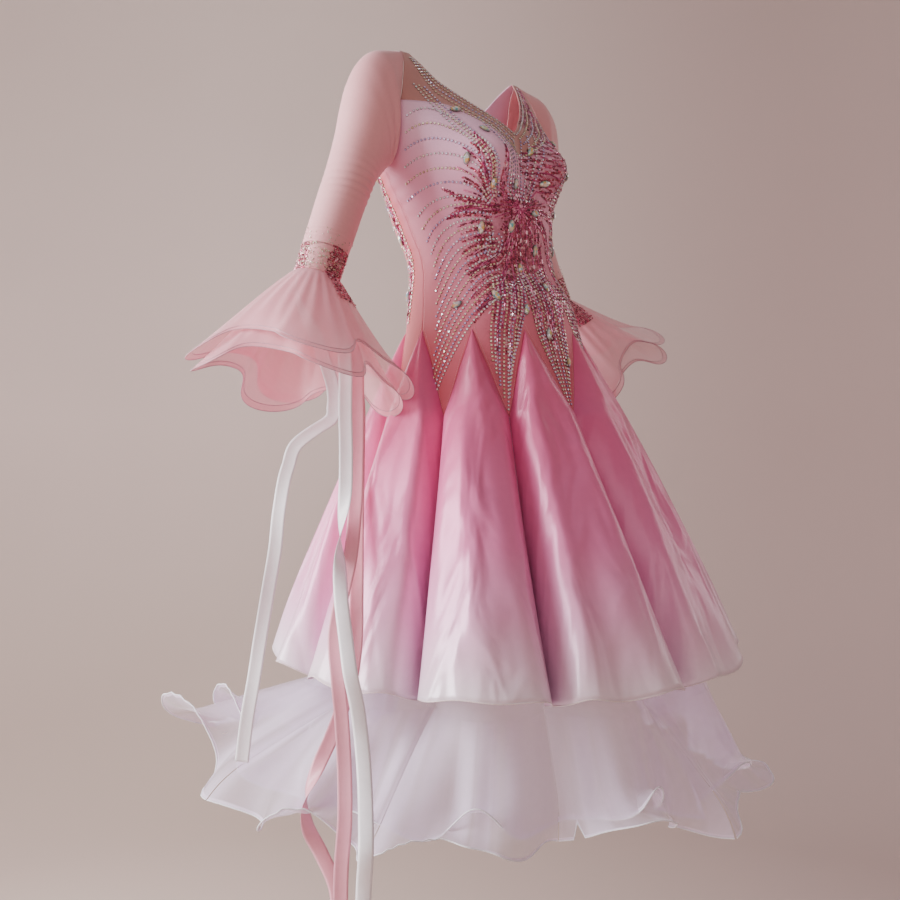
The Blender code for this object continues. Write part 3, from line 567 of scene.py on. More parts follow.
MIRRORED = (-1, -1, 1)
front_half = edge((yoke_line, 40, 0, 0.7), (armhole_lower, 20, 0.7, 1))
rear_half = edge((armhole_rear, 40, 0, 0.6), (curve_at(BACK_NECKLINE[::-1], back=True), 24, 0.7, 1))
front_top = (np.concatenate([front_half[:0:-1] * MIRRORED, front_half]) + (1, 0, 0)) * (0.5, 1, 1)
BODY_PIECES = [
    ("bodice_front", front_top, -SIDE_SEAM, SIDE_SEAM),
    ("bodice_back_left", rear_half, SIDE_SEAM, 180),
    ("bodice_back_right", rear_half[::-1] * MIRRORED + (1, 0, 0), -180, -SIDE_SEAM),
]
for name, top, first, last in BODY_PIECES:
    points, marks = body_grid(top, first, last)
    piece = cloth(name + "_cloth", points, lycra, JERSEY, marks=marks)
    sewn(piece, name, points)

# --- Yoke ---
# Flesh-pink stretch mesh, one strip from shoulder seam to shoulder seam between the neckline
# and the bust seam, edged with a narrow turned and stitched hem.
YOKE_ROWS, YOKE_COLUMNS = 26, 80
YOKE_MESH = 0.0010  # thickness
mesh_tan, tree, shader = nodes_of("tan_mesh", Roughness=0.6, Sheen_Weight=0.4, Alpha=0.93)
woven(tree, shader, (0.60, 0.285, 0.26), threads=1100, slub=0.16, slub_scale=220, strength=0.4)

outer_half = edge((yoke_line, 56, 0, 0.7), (armhole_upper[::-1], 24, 0.7, 1))
inner_half = edge((curve_at(NECKLINE), YOKE_COLUMNS, 0, 1))
share = np.linspace(0, 1, YOKE_COLUMNS + 1)
inner, outer = (between(share, half[:, 0], half[:, 1:]) for half in (inner_half, outer_half))
rows = inner + (outer - inner) * np.linspace(0, 1, YOKE_ROWS)[:, None, None]
rows = np.concatenate([rows[:, :0:-1] * (-1, 1), rows], axis=1)
points = surface_points(rows[..., 0], rows[..., 1])
sewn(cloth("yoke_mesh", points, mesh_tan, YOKE_MESH), "yoke_front", points)

# --- Sleeves ---
# Long fitted sleeves of pale pink stretch mesh, cut in one with a seam under the arm, set into
# the armholes and ending in a short cuff band. The left arm is held in and back.
SLEEVE = [  # outer x and z, inner x and z, middle y, half depth; the left one's shift in and back
    (0.216, -0.007, 0.1900, -0.1940, 0.015, 0.050, 0.000, 0.000),
    (0.242, -0.027, 0.1930, -0.1965, 0.014, 0.048, 0.000, 0.000),
    (0.262, -0.060, 0.1965, -0.2000, 0.014, 0.046, 0.001, 0.003),
    (0.275, -0.100, 0.2000, -0.2050, 0.015, 0.044, 0.004, 0.008),
    (0.285, -0.145, 0.2070, -0.2130, 0.017, 0.042, 0.009, 0.016),
    (0.300, -0.198, 0.2210, -0.2290, 0.020, 0.041, 0.015, 0.025),
    (0.319, -0.254, 0.2430, -0.2800, 0.025, 0.040, 0.019, 0.030),
    (0.335, -0.302, 0.2610, -0.3280, 0.029, 0.039, 0.016, 0.026),
    (0.346, -0.333, 0.2740, -0.3585, 0.031, 0.038, 0.012, 0.021),
]
CUFF = [
    (0.3463, -0.3337, 0.2743, -0.3592, 0.031, 0.038, 0.012, 0.021),
    (0.3625, -0.3765, 0.2925, -0.4010, 0.032, 0.037, 0.008, 0.016),
]
ARMHOLE_SEAM = 0.0012  # from the body's surface out to the sleeve's edge
SLEEVE_RING = 72
SLEEVE_ROWS, CUFF_ROWS = 96, 14
SLEEVE_MESH, CUFF_MESH = 0.0008, 0.0010  # thicknesses
CREASES = [  # elbow, armpit, wrist: middle and reach as shares of the length, depth, closeness
    (0.60, 0.10, 0.0016, 150), (0.10, 0.12, 0.0020, 80), (0.93, 0.06, 0.0007, 260),
]
FLIPS = {"right": (1, 1, 1), "left": (-1, 1, 1)}

mesh_pink, tree, shader = nodes_of("pink_mesh", Roughness=0.5, Sheen_Weight=0.35, Sheen_Roughness=0.35,
                                   Alpha=0.93)
woven(tree, shader, (0.88, 0.42, 0.45), threads=1100, slub=0.12, slub_scale=200, strength=0.35)


def ring_frame(row, side):
    """Middle, outward half width and half depth of one ring, all as on a right arm."""
    outer_x, outer_z, inner_x, inner_z, middle_y, depth, *held = row
    left_in, left_back = held if side == "left" else (0, 0)
    middle = np.array([left_in - (outer_x + inner_x) / 2, middle_y + left_back, (outer_z + inner_z) / 2])
    return middle, np.array([-(outer_x - inner_x) / 2, 0, (outer_z - inner_z) / 2]), depth


def ring(row, side):
    """From the outer side by the front to the inner side and round the back."""
    middle, reach, depth = ring_frame(row, side)
    turns = whole_turn(SLEEVE_RING)[:, None]
    return middle + reach * np.cos(turns) + np.array([0, -depth, 0]) * np.sin(turns)


def armhole_ring():
    """The right armhole's points, moved off the body by a seam."""
    quarter = SLEEVE_RING // 4
    upper, lower = evenly(armhole_upper, quarter), evenly(armhole_lower, quarter)
    around = np.concatenate([upper[:-1], lower, evenly(armhole_rear, 2 * quarter)[1:-1]])
    return body_points(-around[:, 0], around[:, 1]) + (-ARMHOLE_SEAM, 0, 0)


def arm_rows(rings, count):
    """Rows of a sleeve, smooth from ring to ring."""
    rings = np.array(rings)
    knots = lengths_along(rings.mean(axis=1))
    return smooth(np.linspace(0, knots[-1], count), knots, rings)


def sleeve_creases(points):
    """Soft wrinkles at the inside of the elbow, under the arm and above the cuff."""
    down, turn = np.linspace(0, 1, len(points))[:, None], whole_turn(SLEEVE_RING)[None, :]
    inner, lower = 0.5 + 0.5 * np.cos(turn - math.radians(120)), 0.5 - 0.5 * np.cos(turn)
    places = (inner, lower * np.minimum(1, down * 12), 1)
    bends = (1.2 * np.sin(turn), 2.0 * np.cos(turn), turn)
    depth = sum(deep * bump(down - middle, reach) * place * np.sin(down * waves + bend)
                for (middle, reach, deep, waves), place, bend in zip(CREASES, places, bends))
    across = np.roll(points, -1, axis=1) - np.roll(points, 1, axis=1)
    return points + unit(np.cross(np.gradient(points, axis=0), across)) * depth[..., None]


def handed(points, side):
    """Points made as on a right arm, for either side: the left is mirrored, with its turn kept."""
    return points if side == "right" else points[:, ::-1] * FLIPS[side]


for side in FLIPS:
    upper = [armhole_ring()] + [ring(row, side) for row in SLEEVE]
    points = handed(sleeve_creases(arm_rows(upper, SLEEVE_ROWS)), side)
    sewn(cloth(f"sleeve_{side}_cloth", points, mesh_pink, SLEEVE_MESH, wrapped=True), f"sleeve_{side}",
         points, wrapped=True)
    points = handed(arm_rows([ring(row, side) for row in CUFF], CUFF_ROWS), side)
    sewn(cloth(f"cuff_{side}_band", points, mesh_pink, CUFF_MESH, wrapped=True), f"cuff_{side}",
         points, wrapped=True)

# --- Bell flounces ---
# Two circle-cut flounces of pink organza on each cuff, the under one longer. Each hem is a
# narrow roll over stiff line that throws the cloth into deep loops.
FLOUNCE_TOP = (-0.3275, 0.032, -0.389)
FLOUNCE_HEM = {"right": (-0.384, 0.007, -0.556), "left": (-0.420, 0.011, -0.527)}
FLOUNCE_TURN = {"right": 0.0, "left": 0.53}
FLOUNCE_DIP = {"right": (0.014, 0.73), "left": (0.0, 0.0)}  # how much lower, at which turn
FLOUNCES = [  # name, inset, start, length, radius, waves, swell, drop, lean, phase
    ("upper", 0.0000, 0.0008, 0.150, 0.150, 4, 0.18, 0.022, 0.07, 2.4),
    ("lower", 0.0036, -0.0060, 0.178, 0.144, 4, 0.16, 0.020, 0.07, 1.6),
]
FLOUNCE_ROWS, FLOUNCE_RING = 44, 176
PLEATS, PLEAT_DEPTH = 26, 0.0012  # small gathers at the cuff's seam
HEM_FOLD = 0.0070  # height of the turned hem
LINE_RADIUS = 0.0007  # of the stiff line in it

organza, tree, shader = nodes_of("organza", Roughness=0.42, Sheen_Weight=0.4, Sheen_Roughness=0.4)
fold = marked(tree, "hem")
tone = mixed(tree, fold, (1.0, 0.46, 0.54), (0.94, 0.40, 0.48))
woven(tree, shader, tone, threads=900, slub=0.10, slub_scale=120, strength=0.3)
film = from_to(tree, fold, 0.0, 1.0, To_Min=0.62, To_Max=0.72)
tree.links.new(film, shader.inputs["Alpha"])


def across_to(axis, way):
    """The unit vectors nearest to a way, square to axes."""
    way = np.array(way, float)
    return unit(way - axis * (axis @ way)[..., None])


def flounce_points(row, side, turn, share):
    """A flounce, as on a right arm, at angles round its axis and shares of its way down."""
    _, inset, start, length, radius, waves, swell, drop, lean, phase = row
    cuff_middle, cuff_out, _ = ring_frame(CUFF[-1], side)
    cuff_radius = np.linalg.norm(cuff_out)
    cuff_out = cuff_out / cuff_radius
    cuff_down = np.array([-cuff_out[2], 0, cuff_out[0]])
    down = unit(np.array(FLOUNCE_HEM[side]) - FLOUNCE_TOP)
    share, turn = share[:, None], turn[None, :]
    out = unit(cuff_out * (1 - share) + across_to(down, (-1, 0, 0)) * share)[:, None, :]
    front = across_to(down * share, (0, -1, 0))[:, None, :]
    wave = share**2
    angle = waves * turn + phase + FLOUNCE_TURN[side]
    spun = turn + lean * np.sin(2 * angle) * wave
    level = start + (length - start) * share
    flare = np.maximum(0, level / length) ** 0.94
    reach = (cuff_radius - inset) + (radius - cuff_radius + inset) * flare
    reach = reach * (1 + swell * np.cos(angle) * wave)
    reach = reach - PLEAT_DEPTH * (1 - share) * np.sin(PLEATS * turn) * share * 4
    dip, dip_turn = FLOUNCE_DIP[side]
    hang = drop * np.cos(angle) + 0.004 * np.sin(2 * angle + 0.6) + dip * np.cos(turn - dip_turn)
    level = level + hang * wave
    middle = cuff_middle + np.where((level < 0)[..., None], cuff_down, down) * level[..., None]
    return middle + reach[..., None] * (np.cos(spun)[..., None] * out + np.sin(spun)[..., None] * front)


def geometry_tree(name, source, sockets):
    """A new geometry tree, its inputs and its output's socket, and its sockets' identifiers."""
    tree = bpy.data.node_groups.new(name, "GeometryNodeTree")
    face = tree.interface
    face.new_socket(source, in_out="INPUT", socket_type="NodeSocketGeometry")
    found = {socket: face.new_socket(socket, in_out="INPUT", socket_type="NodeSocket" + kind).identifier
             for socket, kind in sockets.items()}
    face.new_socket("Made", in_out="OUTPUT", socket_type="NodeSocketGeometry")
    given, out = tree.nodes.new("NodeGroupInput").outputs, tree.nodes.new("NodeGroupOutput")
    return tree, given, out.inputs[0], found


def rolled_hem_tree():
    """A thin round roll along the source's edges."""
    tree, given, out, sockets = geometry_tree("rolled_hem", "Edge", {"Radius": "Float", "Finish": "Material"})
    line = wired(tree, "GeometryNodeMeshToCurve", Mesh=given["Edge"])
    circle = wired(tree, "GeometryNodeCurvePrimitiveCircle", "Curve", Resolution=6, Radius=given["Radius"])
    roll = wired(tree, "GeometryNodeCurveToMesh", Curve=line, _1=circle, Fill_Caps=True)
    dressed = wired(tree, "GeometryNodeSetMaterial", Geometry=roll, Material=given["Finish"])
    smoothed = wired(tree, "GeometryNodeSetShadeSmooth", _0=dressed)
    tree.links.new(wired(tree, "GeometryNodeRealizeInstances", _0=smoothed), out)
    return tree, sockets


def line_mesh(name, lines, marks=None):
    """Loose edges along one or more lines: (points, whether it closes)."""
    points, edges = [], []
    for line, closed in lines:
        start = len(points)
        points += [tuple(p) for p in line]
        edges += [(start + i, start + i + 1) for i in range(len(line) - 1)]
        if closed:
            edges.append((start + len(line) - 1, start))
    mesh = bpy.data.meshes.new(name)
    mesh.from_pydata(points, edges, [])
    for mark, values in (marks or {}).items():
        made = mesh.attributes.new(mark, "FLOAT_VECTOR", "POINT")
        made.data.foreach_set("vector", np.array(values, np.float32).ravel())
    return mesh


def grown(name, mesh, maker_tree, settings):
    """A plain mesh object from a tree run on a source mesh, riding with the dress."""
    tree, sockets = maker_tree
    source = link(name + "_source", mesh)
    maker = source.modifiers.new("maker", "NODES")
    maker.node_group = tree
    for socket, value in settings.items():
        maker[sockets[socket]] = value
    bpy.context.view_layer.update()
    made = bpy.data.meshes.new_from_object(source.evaluated_get(bpy.context.evaluated_depsgraph_get()))
    source.modifiers.remove(maker)
    bpy.data.objects.remove(source)
    made.name = name
    if not made.materials:
        made.materials.append(settings["Finish"])
    piece = link(name, made)
    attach(piece, "root")
    return piece


ROLLED_HEM = rolled_hem_tree()


def rolled(name, lines, radius, material):
    """A rolled hem along lines."""
    return grown(name, line_mesh(name, lines), ROLLED_HEM, {"Radius": radius, "Finish": material})


def hem_thread(name, scale, dark, light, **settings):
    """The finish of a rolled hem, with an uneven colour."""
    made, tree, shader = nodes_of(name, **settings)
    uneven = ramp(tree, noise(tree, object_place(tree), scale), [(0.3, dark), (0.7, light)])
    tree.links.new(uneven, shader.inputs["Base Color"])
    return made


hem_line = hem_thread("organza_roll", 400.0, (0.42, 0.19, 0.26), (0.58, 0.28, 0.34), Roughness=0.4,
                      Sheen_Weight=0.5)
for side in FLIPS:
    for row in FLOUNCES:
        turned_in = HEM_FOLD / row[3]
        # rows close up at the hem, where the fold is stitched down
        share = np.concatenate([np.linspace(0, 1 - turned_in, FLOUNCE_ROWS - 4, endpoint=False),
                                1 - np.array([1, 0.93, 0.5, 0]) * HEM_FOLD / row[3]])
        points = handed(flounce_points(row, side, whole_turn(FLOUNCE_RING), share), side)
        fold = (share > 1 - turned_in * 0.95).astype(float)[:, None]
        name = f"flounce_{row[0]}_{side}"
        piece = cloth(name + "_organza", points, organza, wrapped=True, marks={"hem": fold})
        hem = rolled(name + "_hem", [(points[-1], True), (points[-4] * 0.5 + points[-3] * 0.5, True)],
                     LINE_RADIUS, hem_line)
        sewn(piece, name, points, wrapped=True)

# --- Satin godets ---
# Ten fan-shaped insets of heavy satin, dyed from hot pink at the point to almost white at the
# hem. Each is set between two points of the body and falls in one deep rounded fold.
SATIN = 0.0010  # thickness
HEM_ROLL = 0.0011  # radius of a rolled hem
MID_SHARE = (HIP_Z - POINT_MID_Z) / VALLEY_DROP
TIP_SHARE = (HIP_Z - POINT_TIP_Z) / VALLEY_DROP
GODET_GAP = 0.0008  # from a godet's edge to its seam
LOBE_POWER = 3  # higher is flatter across a godet
OVERHANG = 0.25  # how far its sides fall over its seams, as a share of its half width
WIDEST = 0.3  # the most that a godet's cloth leans out on its way down
GODET_ROWS, GODET_ACROSS = 84, 65


def draped(tree, shader, across, along, depth):
    """Adds soft folds that run down the cloth under its weave."""
    drawn = wired(tree, "ShaderNodeMapping", Vector=object_place(tree), Scale=(across, across, along))
    folds = noise(tree, drawn, 1.0, 1.5, Distortion=0.6)
    weave = shader.inputs["Normal"].links[0].from_socket
    relief = wired(tree, "ShaderNodeBump", Strength=1.0, Distance=depth, Height=folds, Normal=weave)
    tree.links.new(relief, shader.inputs["Normal"])


satin, tree, shader = nodes_of("satin", Roughness=0.29, Specular_IOR_Level=0.5, Metallic=0.08,
                               Sheen_Weight=0.08, Sheen_Roughness=0.25)
fall = marked(tree, "fall")
# Down each godet the ombré dye runs from hot pink to almost white; across it, the valleys' and the crests'
# colours are painted shade and painted light of the folds.
deep = ramp(tree, fall, [(0.0, (0.70, 0.08, 0.23)), (0.35, (0.82, 0.17, 0.42)), (0.72, (0.90, 0.42, 0.70)),
                         (1.0, (0.90, 0.64, 0.82))])
crest_light = ramp(tree, fall, [(0.0, (0.80, 0.15, 0.31)), (0.35, (0.84, 0.18, 0.40)), (0.62, (0.85, 0.24, 0.49)),
                          (0.80, (0.87, 0.40, 0.63)), (0.92, (0.89, 0.60, 0.76)), (1.0, (0.90, 0.77, 0.86))])
dye_and_fold_light = mixed(tree, marked(tree, "fold"), deep, crest_light)
woven(tree, shader, dye_and_fold_light, threads=2200, floats=5.0, slub=0.10, slub_scale=70, strength=0.10)
draped(tree, shader, 16, 1.6, 0.016)
satin_roll = hem_thread("satin_roll", 300.0, (0.74, 0.60, 0.62), (0.84, 0.74, 0.74), Roughness=0.35)


def godet_edge(apex, seam, share):
    """The line that a godet shares with its neighbour, straight between the points' bends."""
    z = HIP_Z - share * VALLEY_DROP
    corners = ((apex, HIP_Z), ((apex + seam) / 2, POINT_MID_Z), (seam, POINT_TIP_Z))
    bends = np.array([surface_points(*corner) for corner in corners])
    below = np.concatenate([cone_plan(np.full(share.shape, seam), share), z[:, None]], axis=1)
    return np.where((z <= POINT_TIP_Z)[:, None], below, between(-z, -bends[:, 2], bends))


def lobe_shape(across, share, row):
    """How far out a godet's folds stand, from 0 at its seams to 1."""
    flutes, flute, phase = row[4:]
    drift = 0.13 * np.sin(math.pi * (1.5 * share + 2.7 * phase)) * (1 - across**2) * share
    ripple = 0.5 - 0.5 * np.cos(math.pi * flutes * (across + drift + 1) + 2 * math.pi * phase)
    return (1 - np.abs(across) ** LOBE_POWER) * (1 - flute * ripple)


def godet_points(row, before, across, share):
    """A godet at places across it, from -1 to 1, and shares of its way down. Its hem drops as
    far as the cut length reaches at each place."""
    apex, after, lobe_radius, lean = row[:4]
    phase = row[6]
    edges = {seam: godet_edge(apex, seam, share) for seam in (before, after)}
    edge_at = np.where((across > 0)[None, :, None], edges[after][:, None, :], edges[before][:, None, :])
    across, share = across[None, :], share[:, None]
    centre = np.stack([0 * share, SKIRT_CENTRE_Y * share], axis=-1)
    offset = edge_at[..., :2] - centre
    open_to = np.interp(share, (0, MID_SHARE, TIP_SHARE), (0, 0.5, 1))
    gap = np.degrees(GODET_GAP / np.linalg.norm(offset, axis=-1))
    half = np.where(across > 0, after - apex, apex - before) * open_to
    swing = np.abs(across) + OVERHANG * np.sin(math.pi * np.abs(across)) * share
    angle = apex + np.sign(across) * swing * (half - gap) + lean * share**2 * (1 - np.abs(across) ** 2)
    spin = np.radians(gap) * np.sign(across)
    turned = np.stack([np.cos(spin) * offset[..., 0] + np.sin(spin) * offset[..., 1],
                       -np.sin(spin) * offset[..., 0] + np.cos(spin) * offset[..., 1]], axis=-1) + centre
    at_edge = (np.abs(across) == 1)[..., None] & np.ones(share.shape, bool)[..., None]
    base = np.where(at_edge, turned, cone_plan(angle, share))
    stands = (lobe_radius - VALLEY_RADIUS) * lobe_shape(across, share, row)
    wide = 1 - across**2
    soft = 0.0030 * np.sin(8 * across + 3.4 * share + 9 * phase)
    soft = soft + 0.0022 * np.sin(15 * across - 5 * share + apex)
    soft = soft + 0.0026 * np.sin(5 * across + 9 * share + 4 * phase)
    out = stands * share**0.85 + soft * wide * share**1.3
    plan = base + out[..., None] * outward(angle)
    drop = np.sqrt(GODET_LENGTH**2 - np.minimum(WIDEST, VALLEY_OUT + stands) ** 2)
    drop = drop + (0.0035 * np.sin(9 * across + phase * 7) + 0.009 * wide) * wide * share**4
    return np.concatenate([plan, (HIP_Z - drop * share)[..., None]], axis=-1)


across = np.sin(np.linspace(-1, 1, GODET_ACROSS) * math.pi / 2)
across[0], across[-1] = -1, 1
share = np.linspace(0.004, 1, GODET_ROWS) ** 1.1
# the fold mark: 1 on a godet's crest, falling to 0 at its seams, where the painted light of the folds turns
# to their painted shade
ridge = np.clip(1.15 * (1 - np.abs(across) ** 2.2), 0, 1)[None, :]
for number, (row, before) in enumerate(zip(GODETS, SEAMS), start=1):
    points = godet_points(row, before, across, share)
    name = f"godet_{number:02d}"
    piece = cloth(name + "_satin", points, satin, SATIN, marks={"fall": share[:, None], "fold": ridge})
    hem = rolled(name + "_hem", [(points[-1], False)], HEM_ROLL, satin_roll)
    sewn(piece, name, points)

# --- Tulle underskirt ---
# Two layers of soft white tulle sewn inside the hip line, cut very full, with a rolled wire
# hem that curls over on itself here and there.
TULLE_TOP_Z = -0.474
TULLE_TURN = 1.012  # where the tulle leaves the satin, as a share of the valleys' depth
TULLE_INSET, TULLE_EASE = 0.0020, 0.008  # in from the satin at the top, and more at its hem
TULLE_FILL = 0.80  # how far it fills the godets over it
GATHER_DEPTH = 0.015  # of its fine folds
LAYER_INSET, LAYER_EASE = 0.0015, 0.012  # the inner layer, in from the outer one
LAYER_IN, LAYER_SLOPE, LAYER_RADIUS = 0.040, 0.25, 0.42  # how much smaller its hem is, and where
LAYER_RISE = 0.018  # how much higher
TULLE_GAP = math.degrees(0.0004 / 0.2)  # from a gore's edge to its seam
TULLE_PANELS = {"outer": [(i, i + 1) for i in range(10)], "inner": [(i, i + 2) for i in range(0, 10, 2)]}
TULLE = table("angle radius z", [  # each crest and valley of the outer hem, right half
    (0, 0.455, -1.245), (12, 0.385, -1.235), (24, 0.430, -1.230), (36, 0.375, -1.230),
    (50, 0.440, -1.245), (60, 0.415, -1.250), (72, 0.485, -1.250), (84, 0.440, -1.245),
    (96, 0.515, -1.235), (104, 0.505, -1.220), (113, 0.545, -1.200), (122, 0.515, -1.165),
    (132, 0.600, -1.135), (143, 0.520, -1.180), (155, 0.560, -1.215), (168, 0.480, -1.235),
    (180, 0.530, -1.240),
])
CURLS = [  # angle, half width, and bend: 1 / radius of the roll, outwards
    (-62, 8.0, 24), (-40, 6.5, -11), (-23, 7.5, 22), (-4, 7.0, -10), (12, 7.0, 18), (32, 8.0, 20),
    (54, 7.0, -9), (72, 8.0, 18), (99, 9.0, 16), (-88, 8.0, 18), (-110, 8.0, -9), (-130, 9.0, 16),
    (-160, 9.0, 17), (142, 9.0, 17), (168, 8.0, -10), (122, 7.0, -9),
]
CURL_LENGTH = 0.075  # how much of the tulle rolls
HEM_BAND = 0.006  # height of the doubled edge round the wire
TULLE_UNDER_ROWS, TULLE_BELOW_ROWS = 22, 58
TULLE_COLUMNS = 44  # in each godet's width

tulle, tree, shader = nodes_of("tulle", Roughness=0.6, Sheen_Weight=1.0, Sheen_Roughness=0.3)
woven(tree, shader, (0.91, 0.77, 0.98), threads=700, slub=0.12, slub_scale=90, strength=0.3)
film = math_node(tree, "MULTIPLY_ADD", marked(tree, "gather"), 0.28, 0.25)
film = math_node(tree, "MULTIPLY_ADD", noise(tree, object_place(tree), 14.0, 2.0), 0.08, film)
film = math_node(tree, "MAXIMUM", film, math_node(tree, "MULTIPLY", marked(tree, "hem"), 0.72))
tree.links.new(film, shader.inputs["Alpha"])
tulle_roll = hem_thread("tulle_roll", 500.0, (0.86, 0.85, 0.92), (0.94, 0.93, 0.97), Roughness=0.5)


def either_way(degrees):
    """An angle brought to between -180 and 180."""
    return (degrees + 180) % 360 - 180


def tulle_hem(name, angle):
    return smooth(np.abs(either_way(angle)), TULLE["angle"], TULLE[name])


def godet_bulge(angle):
    """How far the godet over each angle stands out: its lobe, falling to 0 at its seams."""
    found = np.zeros(angle.shape)
    for row, before in zip(GODETS, SEAMS):
        seam = np.where(angle > row[0], row[1], before)
        across = (angle - row[0]) / np.abs(seam - row[0])
        inside = (angle >= before) & (angle <= row[1])
        found = np.where(inside, (row[2] - VALLEY_RADIUS) * (1 - across**2), found)
    return found


def gathers(angle, layer):
    """Fine folds of the gathered tulle, from -1 to 1."""
    turn = np.radians(angle)
    wander = turn + 0.05 * np.sin(5 * turn + layer) + 0.03 * np.sin(13 * turn)
    return 0.62 * np.sin(19 * wander + 1.3 + layer) + 0.28 * np.sin(37 * wander + 0.4 - layer)


def tulle_points(angle, layer):
    """A layer of the underskirt: under the satin it follows its folds from inside, and below
    it flares out to its own hem, whose curls roll away from the leg."""
    below = np.linspace(0, 1, TULLE_BELOW_ROWS + 1)[1:, None] ** 0.9
    under = np.linspace(0, TULLE_TURN, TULLE_UNDER_ROWS)[:, None]
    under = np.concatenate([under, np.full(below.shape, TULLE_TURN)])
    below = np.concatenate([np.zeros((TULLE_UNDER_ROWS, 1)), below])
    angle = angle[None, :]
    share = under + (HIP_Z - TULLE_TOP_Z) / VALLEY_DROP * (1 - under)
    bulge = TULLE_FILL * godet_bulge(angle) * np.maximum(0, share - TIP_SHARE)
    inset = TULLE_INSET + TULLE_EASE * share + layer * (LAYER_INSET + LAYER_EASE * share)
    way = outward(angle)
    plan = cone_plan(angle, share) + way * (bulge - inset)[..., None]
    z = HIP_Z - share * VALLEY_DROP
    hem_radius = tulle_hem("radius", angle)
    hem_radius = hem_radius - layer * (LAYER_IN + LAYER_SLOPE * (hem_radius - LAYER_RADIUS))
    hem = way * hem_radius[..., None] + (0, SKIRT_CENTRE_Y)
    hem_z = tulle_hem("z", angle) + LAYER_RISE * layer
    plan = plan + (hem - plan) * (below**1.05)[..., None]
    z = z + (hem_z - z) * below**1.15
    folds = gathers(angle, layer) * GATHER_DEPTH * below * (1.15 - 0.3 * below)
    plan = plan + way * folds[..., None]
    points = np.concatenate([plan, (z + 0 * angle)[..., None]], axis=-1)
    steep = np.abs(gathers(angle + 0.5, layer) - gathers(angle - 0.5, layer)) / 0.22
    gather = np.clip(steep, 0, 1) ** 1.6 * below**0.35 + 0 * share
    return curled(points, angle, layer), gather


def curled(points, angle, layer):
    """Rolls the hem over where it curls, keeping the cloth's length."""
    to_hem = lengths_along(points[::-1])[::-1]
    bend = sum(b * np.exp(-((either_way(angle - 4 * layer - a) / w) ** 2)) for a, w, b in CURLS)
    bend = bend + 5 * np.sin(np.radians(angle) * 19 + layer)
    start = np.argmax(to_hem <= CURL_LENGTH, axis=0) - 1
    columns = np.arange(points.shape[1])
    at = points[start, columns]
    down = unit(points[-1] - at)
    out = np.concatenate([outward(angle[0]), np.zeros((len(columns), 1))], axis=1)
    out = unit(out - down * (out * down).sum(axis=1, keepdims=True))
    phi = np.clip(to_hem[start, columns] - to_hem, 0, None) * bend
    safe = np.where(np.abs(bend) < 1e-3, 1e-3, bend)
    new = at + down * (np.sin(phi) / safe)[..., None] + out * ((1 - np.cos(phi)) / safe)[..., None]
    return np.where((to_hem < CURL_LENGTH)[..., None], new, points)


for layer, (word, panels) in enumerate(TULLE_PANELS.items()):
    for number, (first, last) in enumerate(panels, start=1):
        node = f"tulle_{word}_{number:02d}"
        count = (last - first) * TULLE_COLUMNS + 1
        angle = np.linspace(SEAMS[first] + TULLE_GAP, SEAMS[last] - TULLE_GAP, count)
        points, gather = tulle_points(angle, layer)
        band = (lengths_along(points[::-1])[::-1] < HEM_BAND).astype(float)
        piece = cloth(node + "_net", points, tulle, marks={"hem": band, "gather": gather})
        hem = rolled(node + "_hem", [(points[-1], False)], HEM_ROLL, tulle_roll)
        sewn(piece, node, points)

